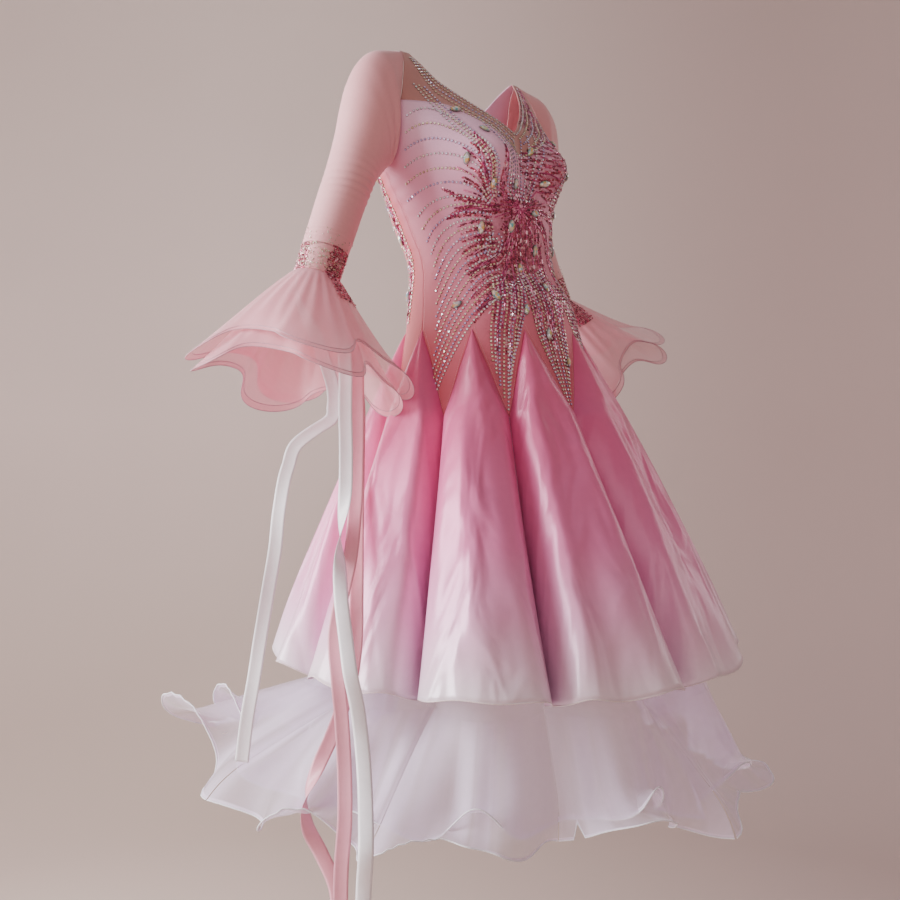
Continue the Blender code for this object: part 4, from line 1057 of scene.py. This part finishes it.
# --- Streamers ---
# Four long ribbons of double-faced satin caught in the right cuff's seam: two white, two
# pink. They hang in front of the skirt, and one of each colour twists over on the way down.
RIBBON_WIDTH = 0.022
RIBBON = 0.0005  # thickness
RIBBON_ROWS, RIBBON_ACROSS = 160, 7
RIBBON_FINISHES = [  # finish, colour, how much it covers
    ("ribbon_white", (1.0, 0.96, 1.0), 0.98), ("ribbon_pink", (0.93, 0.40, 0.50), 0.92),
]
STREAMERS = {  # x, y, z and turn in degrees, at places down each
    "1": ("ribbon_white", [
        (-0.3522, 0.0472, -0.3801, -119), (-0.3599, 0.0438, -0.4026, -119), (-0.333, 0.014, -0.507, -40),
        (-0.320, -0.000, -0.596, -48), (-0.325, 0.003, -0.620, -48), (-0.347, 0.015, -0.636, -48),
        (-0.370, 0.029, -0.656, -48), (-0.385, 0.036, -0.693, -48), (-0.399, 0.042, -0.762, -60),
        (-0.406, 0.044, -0.824, -48), (-0.417, 0.047, -0.885, -40), (-0.430, 0.053, -0.966, -48),
        (-0.440, 0.056, -1.026, -55), (-0.451, 0.060, -1.089, -48), (-0.463, 0.059, -1.156, -48),
    ]),
    "2": ("ribbon_white", [
        (-0.3201, 0.0027, -0.3913, 16), (-0.3277, -0.0006, -0.4138, 16), (-0.322, -0.024, -0.492, -40),
        (-0.328, -0.036, -0.618, -48), (-0.339, -0.049, -0.679, -48), (-0.357, -0.066, -0.734, -60),
        (-0.374, -0.075, -0.788, -120), (-0.389, -0.088, -0.840, -190), (-0.410, -0.113, -0.888, -228),
        (-0.425, -0.139, -0.943, -228), (-0.438, -0.162, -0.989, -228), (-0.432, -0.169, -1.033, -222),
        (-0.427, -0.174, -1.089, -228), (-0.449, -0.204, -1.154, -228), (-0.495, -0.253, -1.205, -228),
        (-0.497, -0.250, -1.272, -228), (-0.501, -0.253, -1.395, -228),
    ]),
    "3": ("ribbon_pink", [
        (-0.3028, 0.0169, -0.3974, -119), (-0.3104, 0.0135, -0.4199, -119), (-0.299, -0.030, -0.523, -50),
        (-0.300, -0.034, -0.589, -48), (-0.301, -0.034, -0.681, -48), (-0.337, -0.067, -0.760, -48),
        (-0.369, -0.089, -0.834, -44), (-0.391, -0.093, -0.892, -48), (-0.412, -0.101, -0.949, -52),
        (-0.434, -0.131, -1.001, -48), (-0.436, -0.141, -1.058, -48), (-0.441, -0.152, -1.128, -48),
        (-0.458, -0.171, -1.193, -48), (-0.471, -0.177, -1.266, -50), (-0.475, -0.180, -1.385, -50),
    ]),
    "4": ("ribbon_pink", [
        (-0.2999, 0.0398, -0.3984, -76), (-0.3075, 0.0365, -0.4209, -76), (-0.292, -0.013, -0.523, -60),
        (-0.288, -0.023, -0.589, -48), (-0.288, -0.023, -0.681, -48), (-0.320, -0.054, -0.762, -48),
        (-0.348, -0.082, -0.836, -50), (-0.366, -0.100, -0.894, -48), (-0.384, -0.117, -0.951, -46),
        (-0.401, -0.126, -1.000, -42), (-0.409, -0.117, -1.045, -48), (-0.422, -0.103, -1.097, -48),
        (-0.438, -0.089, -1.144, -64), (-0.463, -0.095, -1.179, -130), (-0.476, -0.110, -1.214, -190),
        (-0.463, -0.125, -1.257, -225), (-0.451, -0.142, -1.303, -228), (-0.455, -0.145, -1.400, -228),
    ]),
}


def ribbon_points(rows, places):
    """Rows of points down a ribbon, dished a little across its width."""
    x, y, z, turn = np.array(rows, float).T
    drop = np.linspace(z[0], z[-1], RIBBON_ROWS)
    x, y, turn = (smooth(-drop, -z, values) for values in (x, y, turn))
    middle, turn = np.stack([x, y, drop], axis=1), np.radians(turn)
    down = unit(np.gradient(middle, axis=0))
    across = np.stack([np.cos(turn), np.sin(turn), 0 * turn], axis=1)
    across = unit(across - down * (across * down).sum(axis=1, keepdims=True))
    out = np.cross(down, across)
    dish = 0.0012 * (places**2 - 0.4)[None, :, None] * out[:, None, :]
    return middle[:, None] + across[:, None] * (places * RIBBON_WIDTH / 2)[None, :, None] + dish


RIBBONS = {}
for finish, colour, film in RIBBON_FINISHES:
    RIBBONS[finish], tree, shader = nodes_of(finish, Roughness=0.28, Sheen_Weight=0.5, Alpha=film)
    tone = mixed(tree, marked(tree, "selvedge"), colour, tuple(c * 0.93 for c in colour))
    woven(tree, shader, tone, threads=2400, floats=6.0, slub=0.12, slub_scale=90, strength=0.12)
places = np.linspace(-1, 1, RIBBON_ACROSS)
selvedge = (np.abs(places) > 0.95).astype(float)[None, :]
for number, (finish, rows) in STREAMERS.items():
    points = ribbon_points(rows, places)
    piece = cloth(f"streamer_{number}_ribbon", points, RIBBONS[finish], RIBBON, marks={"selvedge": selvedge})
    sewn(piece, f"streamer_{number}", points)

# --- Stones, beads and sequins ---
# Hand-set rows that spray out from under the bust: foiled crystals glued along curved lines,
# red bugle beads and sequins sewn between them, and pointed oval stones where lines part.
CRYSTAL = ("crystal", 0.0025, 0.0064)  # shape, radius, spacing
BUGLE = ("bugle", 0.0013, 0.0074)
SEQUIN = ("sequin", 0.0027, 0.0038)
POINTED = ("pointed", 0.0074, 0.05)
LIFT = 0.0008  # from the jersey's surface to a stone's back
DEGREE = 0.0024  # metres across the front in one degree


def circle(count, radius):
    return [(radius * math.cos(t), radius * math.sin(t)) for t in whole_turn(count)]


def almond(length, width, count=10):
    """A pointed oval."""
    return [(length * math.cos(t), width * math.copysign(abs(math.sin(t)) ** 1.25, math.sin(t)))
            for t in whole_turn(count)]


def sides_of(rings, count):
    """Faces between rings that run upwards."""
    return quads(rings, count, wrapped=True)[:, [0, 3, 2, 1]].tolist()


def turned(rings, tip=None):
    """Points and faces of a small closed shape: rings of (points, height), capped both ends."""
    count = len(rings[0][0])
    points = [(x, y, z) for ring_points, z in rings for x, y in ring_points]
    faces = [tuple(range(count - 1, -1, -1))] + sides_of(len(rings), count)
    top = (len(rings) - 1) * count
    if tip is None:
        faces.append(tuple(range(top, top + count)))
    else:
        points.append((0, 0, tip))
        faces += [(top + i, top + (i + 1) % count, len(points) - 1) for i in range(count)]
    return points, faces


def tube(count, half):
    """Points and faces of a bead lying along X."""
    points = [(x, y, z + 0.6) for x in (-half, half) for y, z in circle(count, 1)]
    return points, [tuple(range(count - 1, -1, -1)), tuple(range(count, 2 * count))] + sides_of(2, count)


SHAPES = {
    "crystal": turned([(circle(7, 1.0), 0.0), (circle(7, 0.72), 0.60)]),
    "sequin": turned([(circle(7, 1.0), 0.0)], tip=0.22),
    "bugle": tube(6, 2.6),
    "pointed": turned([(almond(1.7, 0.92), 0.0), (almond(1.7, 0.92), 0.18), (almond(0.95, 0.5), 0.62)]),
}
for name, (points, faces) in SHAPES.items():
    mesh = bpy.data.meshes.new(name)
    mesh.from_pydata(points, [], faces)
    # rise runs from 0 at a shape's back to 1 at its top; the finishes paint shade towards the back by it
    rise = np.array(points)[:, 2] if name != "bugle" else np.ones(len(points))
    mesh.attributes.new("rise", "FLOAT", "POINT").data.foreach_set("value", rise / rise.max())
    SHAPES[name] = bpy.data.objects.new(name + "_shape", mesh)


def stone_row_tree():
    """Sets a shape along the source's lines at even spacing, back to the cloth."""
    tree, given, out, sockets = geometry_tree("stone_rows", "Lines", {
        "Shape": "Object", "Spacing": "Float", "Size": "Float", "Unevenness": "Float", "Tilt": "Float",
        "Seed": "Int", "Finish": "Material"})
    line = wired(tree, "GeometryNodeMeshToCurve", Mesh=given["Lines"])
    marks = wired(tree, "GeometryNodeResampleCurve", set_mode="LENGTH", Curve=line, Length=given["Spacing"])
    normal = wired(tree, "GeometryNodeInputNamedAttribute", "Attribute", set_data_type="FLOAT_VECTOR",
                   Name="out")
    tangent = wired(tree, "GeometryNodeInputTangent")
    up = wired(tree, "FunctionNodeAlignRotationToVector", set_axis="Z", Vector=normal)
    lying = wired(tree, "FunctionNodeAlignRotationToVector", set_axis="X", set_pivot_axis="Z", Rotation=up,
                  Vector=tangent)

    def drawn(salt, low=0.0):
        seed = math_node(tree, "ADD", given["Seed"], float(salt))
        return wired(tree, "FunctionNodeRandomValue", 1, set_data_type="FLOAT", Seed=seed, _2=low, _3=1.0)

    lean = wired(tree, "ShaderNodeCombineXYZ", X=drawn(1, -1.0), Y=drawn(2, -1.0))
    lean = wired(tree, "ShaderNodeVectorMath", set_operation="SCALE", _0=lean, Scale=given["Tilt"])
    leaned = wired(tree, "FunctionNodeEulerToRotation", Euler=lean)
    rotation = wired(tree, "FunctionNodeRotateRotation", set_rotation_space="LOCAL", _0=lying, _1=leaned)
    least = math_node(tree, "SUBTRACT", 1.0, given["Unevenness"])
    size = math_node(tree, "MULTIPLY", given["Size"], drawn(3, least))
    shape = wired(tree, "GeometryNodeObjectInfo", "Geometry", Object=given["Shape"])
    # a line shorter than one step takes a single stone
    along = wired(tree, "GeometryNodeSplineParameter", "Length")
    half_step = math_node(tree, "MULTIPLY", given["Spacing"], 0.5)
    chosen = math_node(tree, "ADD", math_node(tree, "LESS_THAN", along, 1e-6),
                       math_node(tree, "GREATER_THAN", along, half_step))
    placed = wired(tree, "GeometryNodeInstanceOnPoints", Points=marks, Selection=chosen, Instance=shape,
                   Rotation=rotation, Scale=size)
    tinted = wired(tree, "GeometryNodeStoreNamedAttribute", set_data_type="FLOAT", set_domain="INSTANCE",
                   Geometry=placed, Name="tint", Value=drawn(4))
    whole = wired(tree, "GeometryNodeRealizeInstances", _0=tinted)
    tree.links.new(wired(tree, "GeometryNodeSetMaterial", Geometry=whole, Material=given["Finish"]), out)
    return tree, sockets


STONE_ROWS = stone_row_tree()


def stones(name, kind, rows, material, finish, seed, uneven, tilt):
    """Sets one kind of stone along rows of (points, outward normals)."""
    shape, radius, spacing = kind
    mesh = line_mesh(name, [(points, False) for points, _ in rows],
                     {"out": np.concatenate([normals for _, normals in rows])})
    settings = {"Shape": SHAPES[shape], "Spacing": spacing, "Size": radius, "Unevenness": uneven,
                "Tilt": tilt, "Seed": seed, "Finish": material}
    grown(name, mesh, STONE_ROWS, settings).data.shade_flat()


def foiled(name, stops, back, roughness, metallic, rim=0.35, glint_facets=0.0):
    """A stone or sequin finish: each one's own tint, with painted glints of random colour facet by facet
    where asked, and painted shade darkening it towards its back.
    """
    made, tree, shader = nodes_of(name, Roughness=roughness, Metallic=metallic, Specular_IOR_Level=0.8,
                                  Coat_Weight=0.6, Coat_Roughness=0.05)
    chance = marked(tree, "tint")
    if glint_facets:
        chance = math_node(tree, "ADD", chance, cells(tree, object_place(tree), glint_facets))
        chance = math_node(tree, "FRACT", chance)
    rise = from_to(tree, marked(tree, "rise"), rim, 0.95)
    tint = mixed(tree, rise, back, ramp(tree, chance, stops))
    tree.links.new(tint, shader.inputs["Base Color"])
    return made


# The colour after each ramp is the painted shade at the stones' backs.
SILVER = foiled("crystal_silver", [(0.0, (0.72, 0.70, 0.72)), (0.35, (1.0, 0.98, 0.97)),
                                   (0.6, (0.84, 0.74, 0.95)), (0.8, (1.0, 0.90, 0.72)),
                                   (1.0, (0.70, 0.94, 0.96))], (0.10, 0.05, 0.05), 0.12, 0.15)
GOLD = foiled("crystal_gold", [(0.0, (0.66, 0.50, 0.30)), (0.4, (1.0, 0.88, 0.62)), (0.75, (1.0, 0.96, 0.84)),
                               (1.0, (0.86, 0.60, 0.40))], (0.09, 0.04, 0.02), 0.12, 0.15)
LILAC = foiled("crystal_lilac", [(0.0, (0.48, 0.38, 0.64)), (0.5, (0.76, 0.64, 0.96)),
                                 (1.0, (0.98, 0.94, 1.0))], (0.10, 0.05, 0.12), 0.12, 0.15)
# The sequins' and bugles' palest tints are painted glints and their darkest painted shade; between them is
# their own red and rose.
RED = foiled("sequin_red", [(0.0, (0.09, 0.003, 0.015)), (0.45, (0.42, 0.02, 0.08)),
                            (0.8, (0.76, 0.12, 0.25)), (1.0, (1.0, 0.66, 0.70))],
             (0.22, 0.008, 0.03), 0.22, 0.45, rim=-1.6)
ROSE = foiled("bugle_rose", [(0.0, (0.18, 0.006, 0.06)), (0.5, (0.58, 0.05, 0.23)), (0.8, (0.94, 0.34, 0.56)),
                             (1.0, (1.0, 0.76, 0.80))], (0.2, 0.01, 0.05), 0.10, 0.4)
# The ovals change colour facet by facet: painted glints in the colours of an iridescent coating.
OPAL = foiled("pointed_opal", [(0.0, (0.14, 0.56, 0.60)), (0.3, (0.95, 1.0, 0.96)), (0.6, (1.0, 0.46, 0.12)),
                               (0.8, (0.60, 0.76, 0.30)), (1.0, (0.74, 0.62, 0.95))],
              (0.14, 0.10, 0.10), 0.05, 0.35, 0.2, glint_facets=210.0)

# --- Beadwork on the body ---
# One design of rows, worked out from a heart under the bust: sprays, falls to the tips of the
# points, leaves filled with sequins, and rows that follow the neckline and the back.
SPRAY_HEART = (-6.0, -0.262)  # angle and height that the lines spring from
HEART_ROWS, CUP_ROWS, V_ROWS, STRAP_ROWS, LEAF_PAIRS, BACK_ROWS = 52, 33, 9, 14, 11, 6
CUP_TOP_Z, CUP_STEP = -0.126, 0.0038  # of the rows that fill the left cup
LOOP = (-29, -0.327, 11.0, 0.033)  # the loop at the waist: its middle, half width, half height
LOOP_ROWS = [(1.0, "red"), (0.86, "red"), (1.14, "rose"), (1.28, "red"), (0.6, "lilac"), (0.35, "silver")]
NECK_ROWS = [(0.006, "silver"), (0.015, "gold"), (0.026, "lilac"), (0.038, "gold")]  # distance, kind
STONES = ("silver", "gold", "lilac")
# Sprays on the right half: count, then start, bend and end of the first and last line, and
# on which sides of the front they stand.
SPRAYS = [
    (6, ((-27, -0.246), (-31, -0.258)), ((-29, -0.062), (-47, -0.196)), ((-67, -0.116), (-87, -0.250)),
     (1,)),
    (16, ((-30, -0.256), (-27, -0.410)), ((-61, -0.232), (-66, -0.440)), ((-84, -0.276), (-84, -0.600)),
     (1, -1)),
]
# Falls down to the tip of each point: its angle, where they leave the waist, how many.
FALLS = [(-38.5, (-24, -0.395), 9), (0.0, (-1, -0.375), 10), (38.5, (22, -0.395), 8)]
# Leaves filled with sequins: start, bend, end, half width in degrees, rows across.
LEAVES = [
    ((-25, -0.252), (-37, -0.21), (-33, -0.146), 3.4, 5),
    ((-19, -0.246), (-22, -0.21), (-20, -0.165), 2.4, 4),
    ((-22, -0.26), (-45, -0.262), (-60, -0.236), 1.6, 3),
    ((-24, -0.268), (-45, -0.264), (-62, -0.284), 2.2, 4),
    ((-12, -0.30), (-30, -0.37), (-55, -0.372), 2.4, 4), ((-12, -0.32), (-26, -0.40), (-52, -0.440), 2.4, 4),
    ((-14, -0.285), (-16, -0.36), (-24, -0.425), 4.0, 6), ((-7, -0.285), (-9, -0.36), (-11, -0.455), 4.0, 6),
    ((0, -0.285), (2, -0.36), (-1, -0.485), 4.2, 6), ((6, -0.280), (14, -0.36), (13, -0.44), 4.0, 6),
    ((10, -0.275), (24, -0.30), (30, -0.39), 3.4, 5), ((8, -0.262), (30, -0.262), (44, -0.300), 2.8, 4),
]
# Pointed ovals: angle, z and the way each one points, in degrees from level.
OVALS = [(-33, -0.103, 10), (-43, -0.188, 70), (-28, -0.225, 80), (-9, -0.221, 80), (5, -0.158, 60),
         (29, -0.130, 75), (33, -0.190, 60), (12, -0.211, 15), (-38, -0.299, 75), (-14, -0.293, 80),
         (5, -0.265, 15), (5, -0.329, 80), (-9, -0.364, 75), (4, -0.395, 75), (-17, -0.437, 75),
         (-38, -0.415, -55), (-68, -0.431, 25), (-3, -0.477, 75), (6, -0.523, 80), (-26, -0.138, -35),
         (50, -0.250, 40), (44, -0.320, -60), (-118, -0.20, 80), (118, -0.20, 80),
         (-114, -0.31, 80), (114, -0.31, 80), (-120, -0.41, 80), (120, -0.41, 80)]
# The pieces: name, kind of stone, its lines, finish, slot, seed, unevenness and tilt.
STONE_PIECES = [
    ("crystals_silver", CRYSTAL, "silver", SILVER, "lycra_pink", 3, 0.12, 0.12),
    ("crystals_gold", CRYSTAL, "gold", GOLD, "lycra_pink", 5, 0.12, 0.12),
    ("crystals_lilac", CRYSTAL, "lilac", LILAC, "lycra_pink", 7, 0.12, 0.12),
    ("sequins_red", SEQUIN, "red", RED, "sequins", 11, 0.2, 0.5),
    ("bugles_rose", BUGLE, "rose", ROSE, "sequins", 13, 0.15, 0.2),
]
lines = {kind: [] for kind in STONES + ("red", "rose")}


def lay(kinds, i, *paths):
    """Adds paths of (angle, z) to one of several kinds, which take turns."""
    lines[kinds[i % len(kinds)]] += paths


def bow(start, via, end, count=40, upto=1.0):
    """(angle, z) along a smooth bent line."""
    t = np.linspace(0, upto, count)[:, None]
    start, via, end = (np.array(p, float) for p in (start, via, end))
    return start * (1 - t) ** 2 + 2 * via * t * (1 - t) + end * t**2


def on_dress(path, lift=LIFT):
    path = np.array(path, float)
    points, normals = surface_points(path[:, 0], path[:, 1]), surface_normals(path[:, 0], path[:, 1])
    return points + normals * lift, normals


def both_sides(path):
    return path, path * (-1, 1)


def fan(count, ends, upto=1.0, shift=0.0):
    """Lines between a first and a last one; shift moves them all by part of a step."""
    made = []
    for i in range(count):
        t = (i + shift) / (count - 1 + (shift > 0))
        made.append(bow(*[tuple(a + (b - a) * t for a, b in zip(*pair)) for pair in ends], upto=upto))
    return made


def fall_row(tip, waist, place, upto=1.0):
    """One row of a fall; place is from -0.5 to 0.5 across it."""
    start = (waist[0] + place * 24, waist[1] + 0.03 * abs(place))
    end = (tip + place * 12.0, POINT_TIP_Z + 0.012 + abs(place) * 0.160)
    return bow(start, (tip * 0.86 + place * 26, HIP_Z), end, upto=upto)


def beside_neck(curve, drop, out, down, end_z):
    """A row that follows the neckline at a distance, up to the end of the strap."""
    rows = [(x + drop * out, z - drop * down) for x, z in curve] + [(NECK_X + 0.2 * drop, end_z)]
    return evenly(curve_at(rows), 60)


for count, *ends, sides in SPRAYS:
    for i, path in enumerate(fan(count, ends)):
        lay(STONES, i, *(path * (side, 1) for side in sides))
        beside = [path[k] + (0, 0.004) for k in (0, 20, 39)]
        lay(("red", "rose"), i, bow(*beside, upto=0.36 + 0.1 * math.sin(i * 2.4)))
    halfway = fan(count - 1, ends, upto=0.40, shift=0.5)
    lay(("red",), 0, *(path * (side, 1) for side in sides for path in halfway))

for tip, waist, count in FALLS:
    middle = (count - 1) / 2
    for i in range(count):
        lay(("gold", "silver", "lilac"), i, fall_row(tip, waist, (i - middle) / (count - 1)))
    for i in range(count - 1):  # red rows between them, of uneven length
        upto = 0.62 + 0.22 * math.sin(2.4 * i + tip)
        lay(("red", "rose", "rose"), i, fall_row(tip, waist, (i + 0.5 - middle) / (count - 1), upto))

for start, via, end, wide, rows in LEAVES:
    middle = bow(start, via, end)
    ways = np.gradient(middle, axis=0) * (DEGREE, 1)
    square = unit(np.stack([-ways[:, 1], ways[:, 0]], axis=1)) / (DEGREE, 1) * DEGREE
    swell = np.sin(np.linspace(0.12, math.pi, len(middle))) ** 0.7
    for i in range(rows):
        offset = wide * (2 * i / (rows - 1) - 1)
        lay(("red", "rose"), int(i in (1, rows - 2)), middle + square * (offset * swell)[:, None])

for i in range(HEART_ROWS):  # the heart: short rows out of one place
    turn = 2 * math.pi * i / HEART_ROWS
    reach = 0.034 + 0.020 * math.sin(4 * turn + 0.6) ** 2
    spin = np.array([math.cos(turn) / DEGREE, math.sin(turn)])
    lay(("red", "rose"), i, np.array(SPRAY_HEART) + np.linspace(0.12, 1, 12)[:, None] * reach * spin)
for i in range(CUP_ROWS):  # the left cup, filled
    height = CUP_TOP_Z - CUP_STEP * i
    wide = 29 * math.sin(math.pi * (i + 4.2) / (CUP_ROWS + 5))
    path = bow((27 - wide, height - 0.002), (27, height - 0.012), (27 + wide * 1.1, height + 0.004))
    path[:, 1] += 0.0030 * np.sin(0.30 * path[:, 0] + 2.1 * i)
    lay(("red", "rose", "red", "red"), i, path)
for i in range(V_ROWS):  # rows from the V down to the heart
    place = 2 * i / (V_ROWS - 1) - 1
    start = (-3 + place * 19, -0.142 + 0.028 * abs(place))
    lay(("lilac", "silver", "lilac"), i, bow(start, (-5 + place * 13, -0.20), (-7 + place * 8, -0.246)))
for i in range(3):  # rows that leave the strap and fall over the bust
    path = bow((-53 + 4 * i, -0.060 - 0.002 * i), (-36 + 3 * i, -0.150 + 0.004 * i), (-27 + 2 * i, -0.245))
    lay(STONES, i, *both_sides(path))
middle_angle, middle_z, wide, tall = LOOP
loop = np.linspace(0.3, 2 * math.pi - 0.5, 60)
for radius, kind in LOOP_ROWS:
    path = np.stack([middle_angle + wide * radius * np.sin(loop) + 5 * np.cos(loop) * radius,
                     middle_z + tall * radius * np.cos(loop)], axis=1)
    lines[kind].append(path)

for drop, kind in NECK_ROWS:
    lines[kind] += both_sides(beside_neck(NECKLINE[:-1], drop, 0.55, 0.75, -0.008))
lines["gold"] += both_sides(evenly(curve_at([(x, z - 0.004) for x, z in YOKE_SEAM[:5]]), 60)[:-6])
for i in range(STRAP_ROWS):  # the left strap, filled
    lay(("red", "red", "rose"), i, beside_neck(NECKLINE[1:-1], 0.003 + 0.0040 * i, 0.6, 0.7, -0.006))

for side in (-1, 1):  # a leafy band down each side of the back
    stem = bow((side * 134, -0.075), (side * 96, -0.25), (side * 122, -0.455), 60)
    for shift in (-4.5, -3, -1.5, 0, 1.5, 3):
        lines["red" if shift else "rose"].append(stem + (side * shift, 0))
    lines["gold"] += [stem + (side * shift, 0) for shift in (-6.5, 5.0)]
    for i in range(LEAF_PAIRS):
        root = stem[6 + 5 * i - (i == LEAF_PAIRS - 1)]
        tip = root + (side * (20 + 10 * math.sin(i * 0.6)), 0.035 - 0.004 * i)
        half = (root + tip) / 2
        lay(STONES, i, bow(root, half + (0, 0.018), tip, 24))
        under = root * 0.4 + tip * 0.6 + (0, -0.008)
        lines["red"].append(bow(root + (0, -0.008), half + (0, 0.006), under, 16))
for i in range(BACK_ROWS):  # and rows out from the centre back
    lower = 0.036 * i
    for side in (-1, 1):
        start, via = (side * 178, -0.15 - 0.03 * i), (side * 164, -0.145 - lower)
        lay(("silver", "gold"), i, bow(start, via, (side * 150, -0.175 - lower), 24))

for name, kind, rows, *looks in STONE_PIECES:
    stones(name, kind, [on_dress(path) for path in lines[rows]], *looks)

ovals = []
for angle, z, way in OVALS:
    step = 0.0015 * np.array([math.cos(math.radians(way)) / 0.15 * 57.3, math.sin(math.radians(way))])
    ovals.append(on_dress([(angle, z), (angle + step[0], z + step[1])], LIFT + 0.0012))
stones("ovals_opal", POINTED, ovals, OPAL, "lycra_pink", 17, 0.2, 0.1)

# --- Beadwork on the cuffs ---
# Loose crystals glued on the band and the flounce's top, and red sequins sewn at the band's
# outer end and inner side, where they run down over the flounce.
CUFF_PATCHES = [  # first and last turn in degrees, first and last height on the band, rows
    (-34, 16, 0.05, 1.0, 13), (64, 136, 0.0, 1.0, 14),
]
CUFF_SPECKS = [  # first and last turn in degrees, how many, their spread down and its start
    (-20, 112, 260, 1.55, -0.55), (140, 300, 130, 1.4, -0.4),
]
SPECK_STEP = 1.5  # length in degrees of the short line that carries one stone
CUFF_LIFT = 0.0012


def cuff_points(side, turn, down, lift=CUFF_LIFT):
    """Places on a cuff or the sleeve over it; down is 0 to 1 on the band."""
    middle, reach, depth = zip(*(ring_frame(row, side) for row in (SLEEVE[-3], CUFF[0], CUFF[-1])))
    levels = (-1.2, 0.0, 1.0)
    middle, reach = between(down, levels, middle), between(down, levels, reach)
    depth = np.interp(down, levels, depth)[:, None]
    cosine, sine = np.cos(turn)[:, None], np.sin(turn)[:, None]
    forward = np.array([0, -1, 0])
    out = unit(unit(reach) * cosine + forward * sine)
    return (middle + reach * cosine + forward * depth * sine + out * lift) * FLIPS[side], out * FLIPS[side]


chance = np.random.default_rng(29)
for side in FLIPS:
    sequined, specks = [], []
    for first, last, top, bottom, rows in CUFF_PATCHES:
        for i in range(rows):
            down = top + (bottom - top) * i / (rows - 1)
            inset = 7 * abs(math.sin(i * 2.3)) + 14 * max(0, 0.35 - down)
            turn = np.radians(np.linspace(first + inset, last - inset, 14))
            sequined.append(cuff_points(side, turn, np.full(14, down)))
    turn, share = np.radians(np.linspace(70, 128, 16)), np.linspace(0.01, 0.30, 17)
    flounced = flounce_points(FLOUNCES[0], side, turn, share)
    out = unit(np.cross(np.gradient(flounced, axis=0), np.gradient(flounced, axis=1)))
    out *= np.sign(np.sum(out * (flounced - flounced[0].mean(axis=0)), axis=-1, keepdims=True))
    flounced = (flounced + out * CUFF_LIFT) * FLIPS[side]
    for i, (points, normals) in enumerate(zip(flounced, out * FLIPS[side])):
        first, last = 1 + i // 5, 16 - max(0, i - 9) // 2
        sequined.append((points[first:last], normals[first:last]))
    for first, last, count, spread, start in CUFF_SPECKS:
        turns, downs = chance.uniform(first, last, count), chance.beta(2.6, 1.6, count) * spread + start
        for turn, down in zip(turns, downs):
            specks.append(cuff_points(side, np.radians([turn, turn + SPECK_STEP]), np.full(2, down)))
    stones(f"cuff_sequins_{side}", ("sequin", 0.0022, 0.0031), sequined, RED, "sequins", 19, 0.2, 0.6)
    stones(f"cuff_crystals_{side}", ("crystal", 0.0013, 0.05), specks, GOLD, "sequins", 23, 0.5, 0.3)

# --- Stitching ---
# Two-thread seams that hold the pieces: a fine row beside the yoke's seam, the points' edges
# and the side seams, and round the cuffs.
STITCH = ("bugle", 0.00036, 0.0030)
STITCH_IN = 1.2  # degrees from the edge to its stitches
STITCH_LIFT = 0.0007
thread, tree, shader = nodes_of("thread", Roughness=0.6, Sheen_Weight=0.3)
tone = ramp(tree, marked(tree, "tint"), [(0.0, (0.72, 0.30, 0.36)), (1.0, (0.88, 0.48, 0.52))])
tree.links.new(tone, shader.inputs["Base Color"])

rows = []
share = np.linspace(0, 1, 30)
for (apex, after, *_), before in zip(GODETS, SEAMS):
    for seam in (before, after):
        edge_angle = np.interp(share, (0, 0.5, 1), (apex, (apex + seam) / 2, seam))
        edge_z = np.interp(share, (0, 0.5, 1), (HIP_Z, POINT_MID_Z, POINT_TIP_Z)) + 0.0035
        inward = STITCH_IN if seam > apex else -STITCH_IN
        path = np.stack([edge_angle + inward * (1 - share), edge_z + 0.003 * (1 - share)], axis=1)
        rows.append(on_dress(path[:-2], STITCH_LIFT))
heights = np.linspace(ARMPIT[1] - 0.004, POINT_TIP_Z + 0.10, 60)
yoke_row = np.array(curve_at([(x, z - 0.0035) for x, z in YOKE_SEAM]))
side_row = np.stack([np.full(60, SIDE_SEAM - STITCH_IN), heights], axis=1)
rows += [on_dress(path * (way, 1), STITCH_LIFT) for path in (yoke_row, side_row) for way in (-1, 1)]
rows += [cuff_points(side, np.radians(np.linspace(0, 359, 120)), np.full(120, down), 0.0010)
         for side in FLIPS for down in (0.06, 0.94)]
stones("seam_stitches", STITCH, rows, thread, "lycra_pink", 31, 0.1, 0.05)
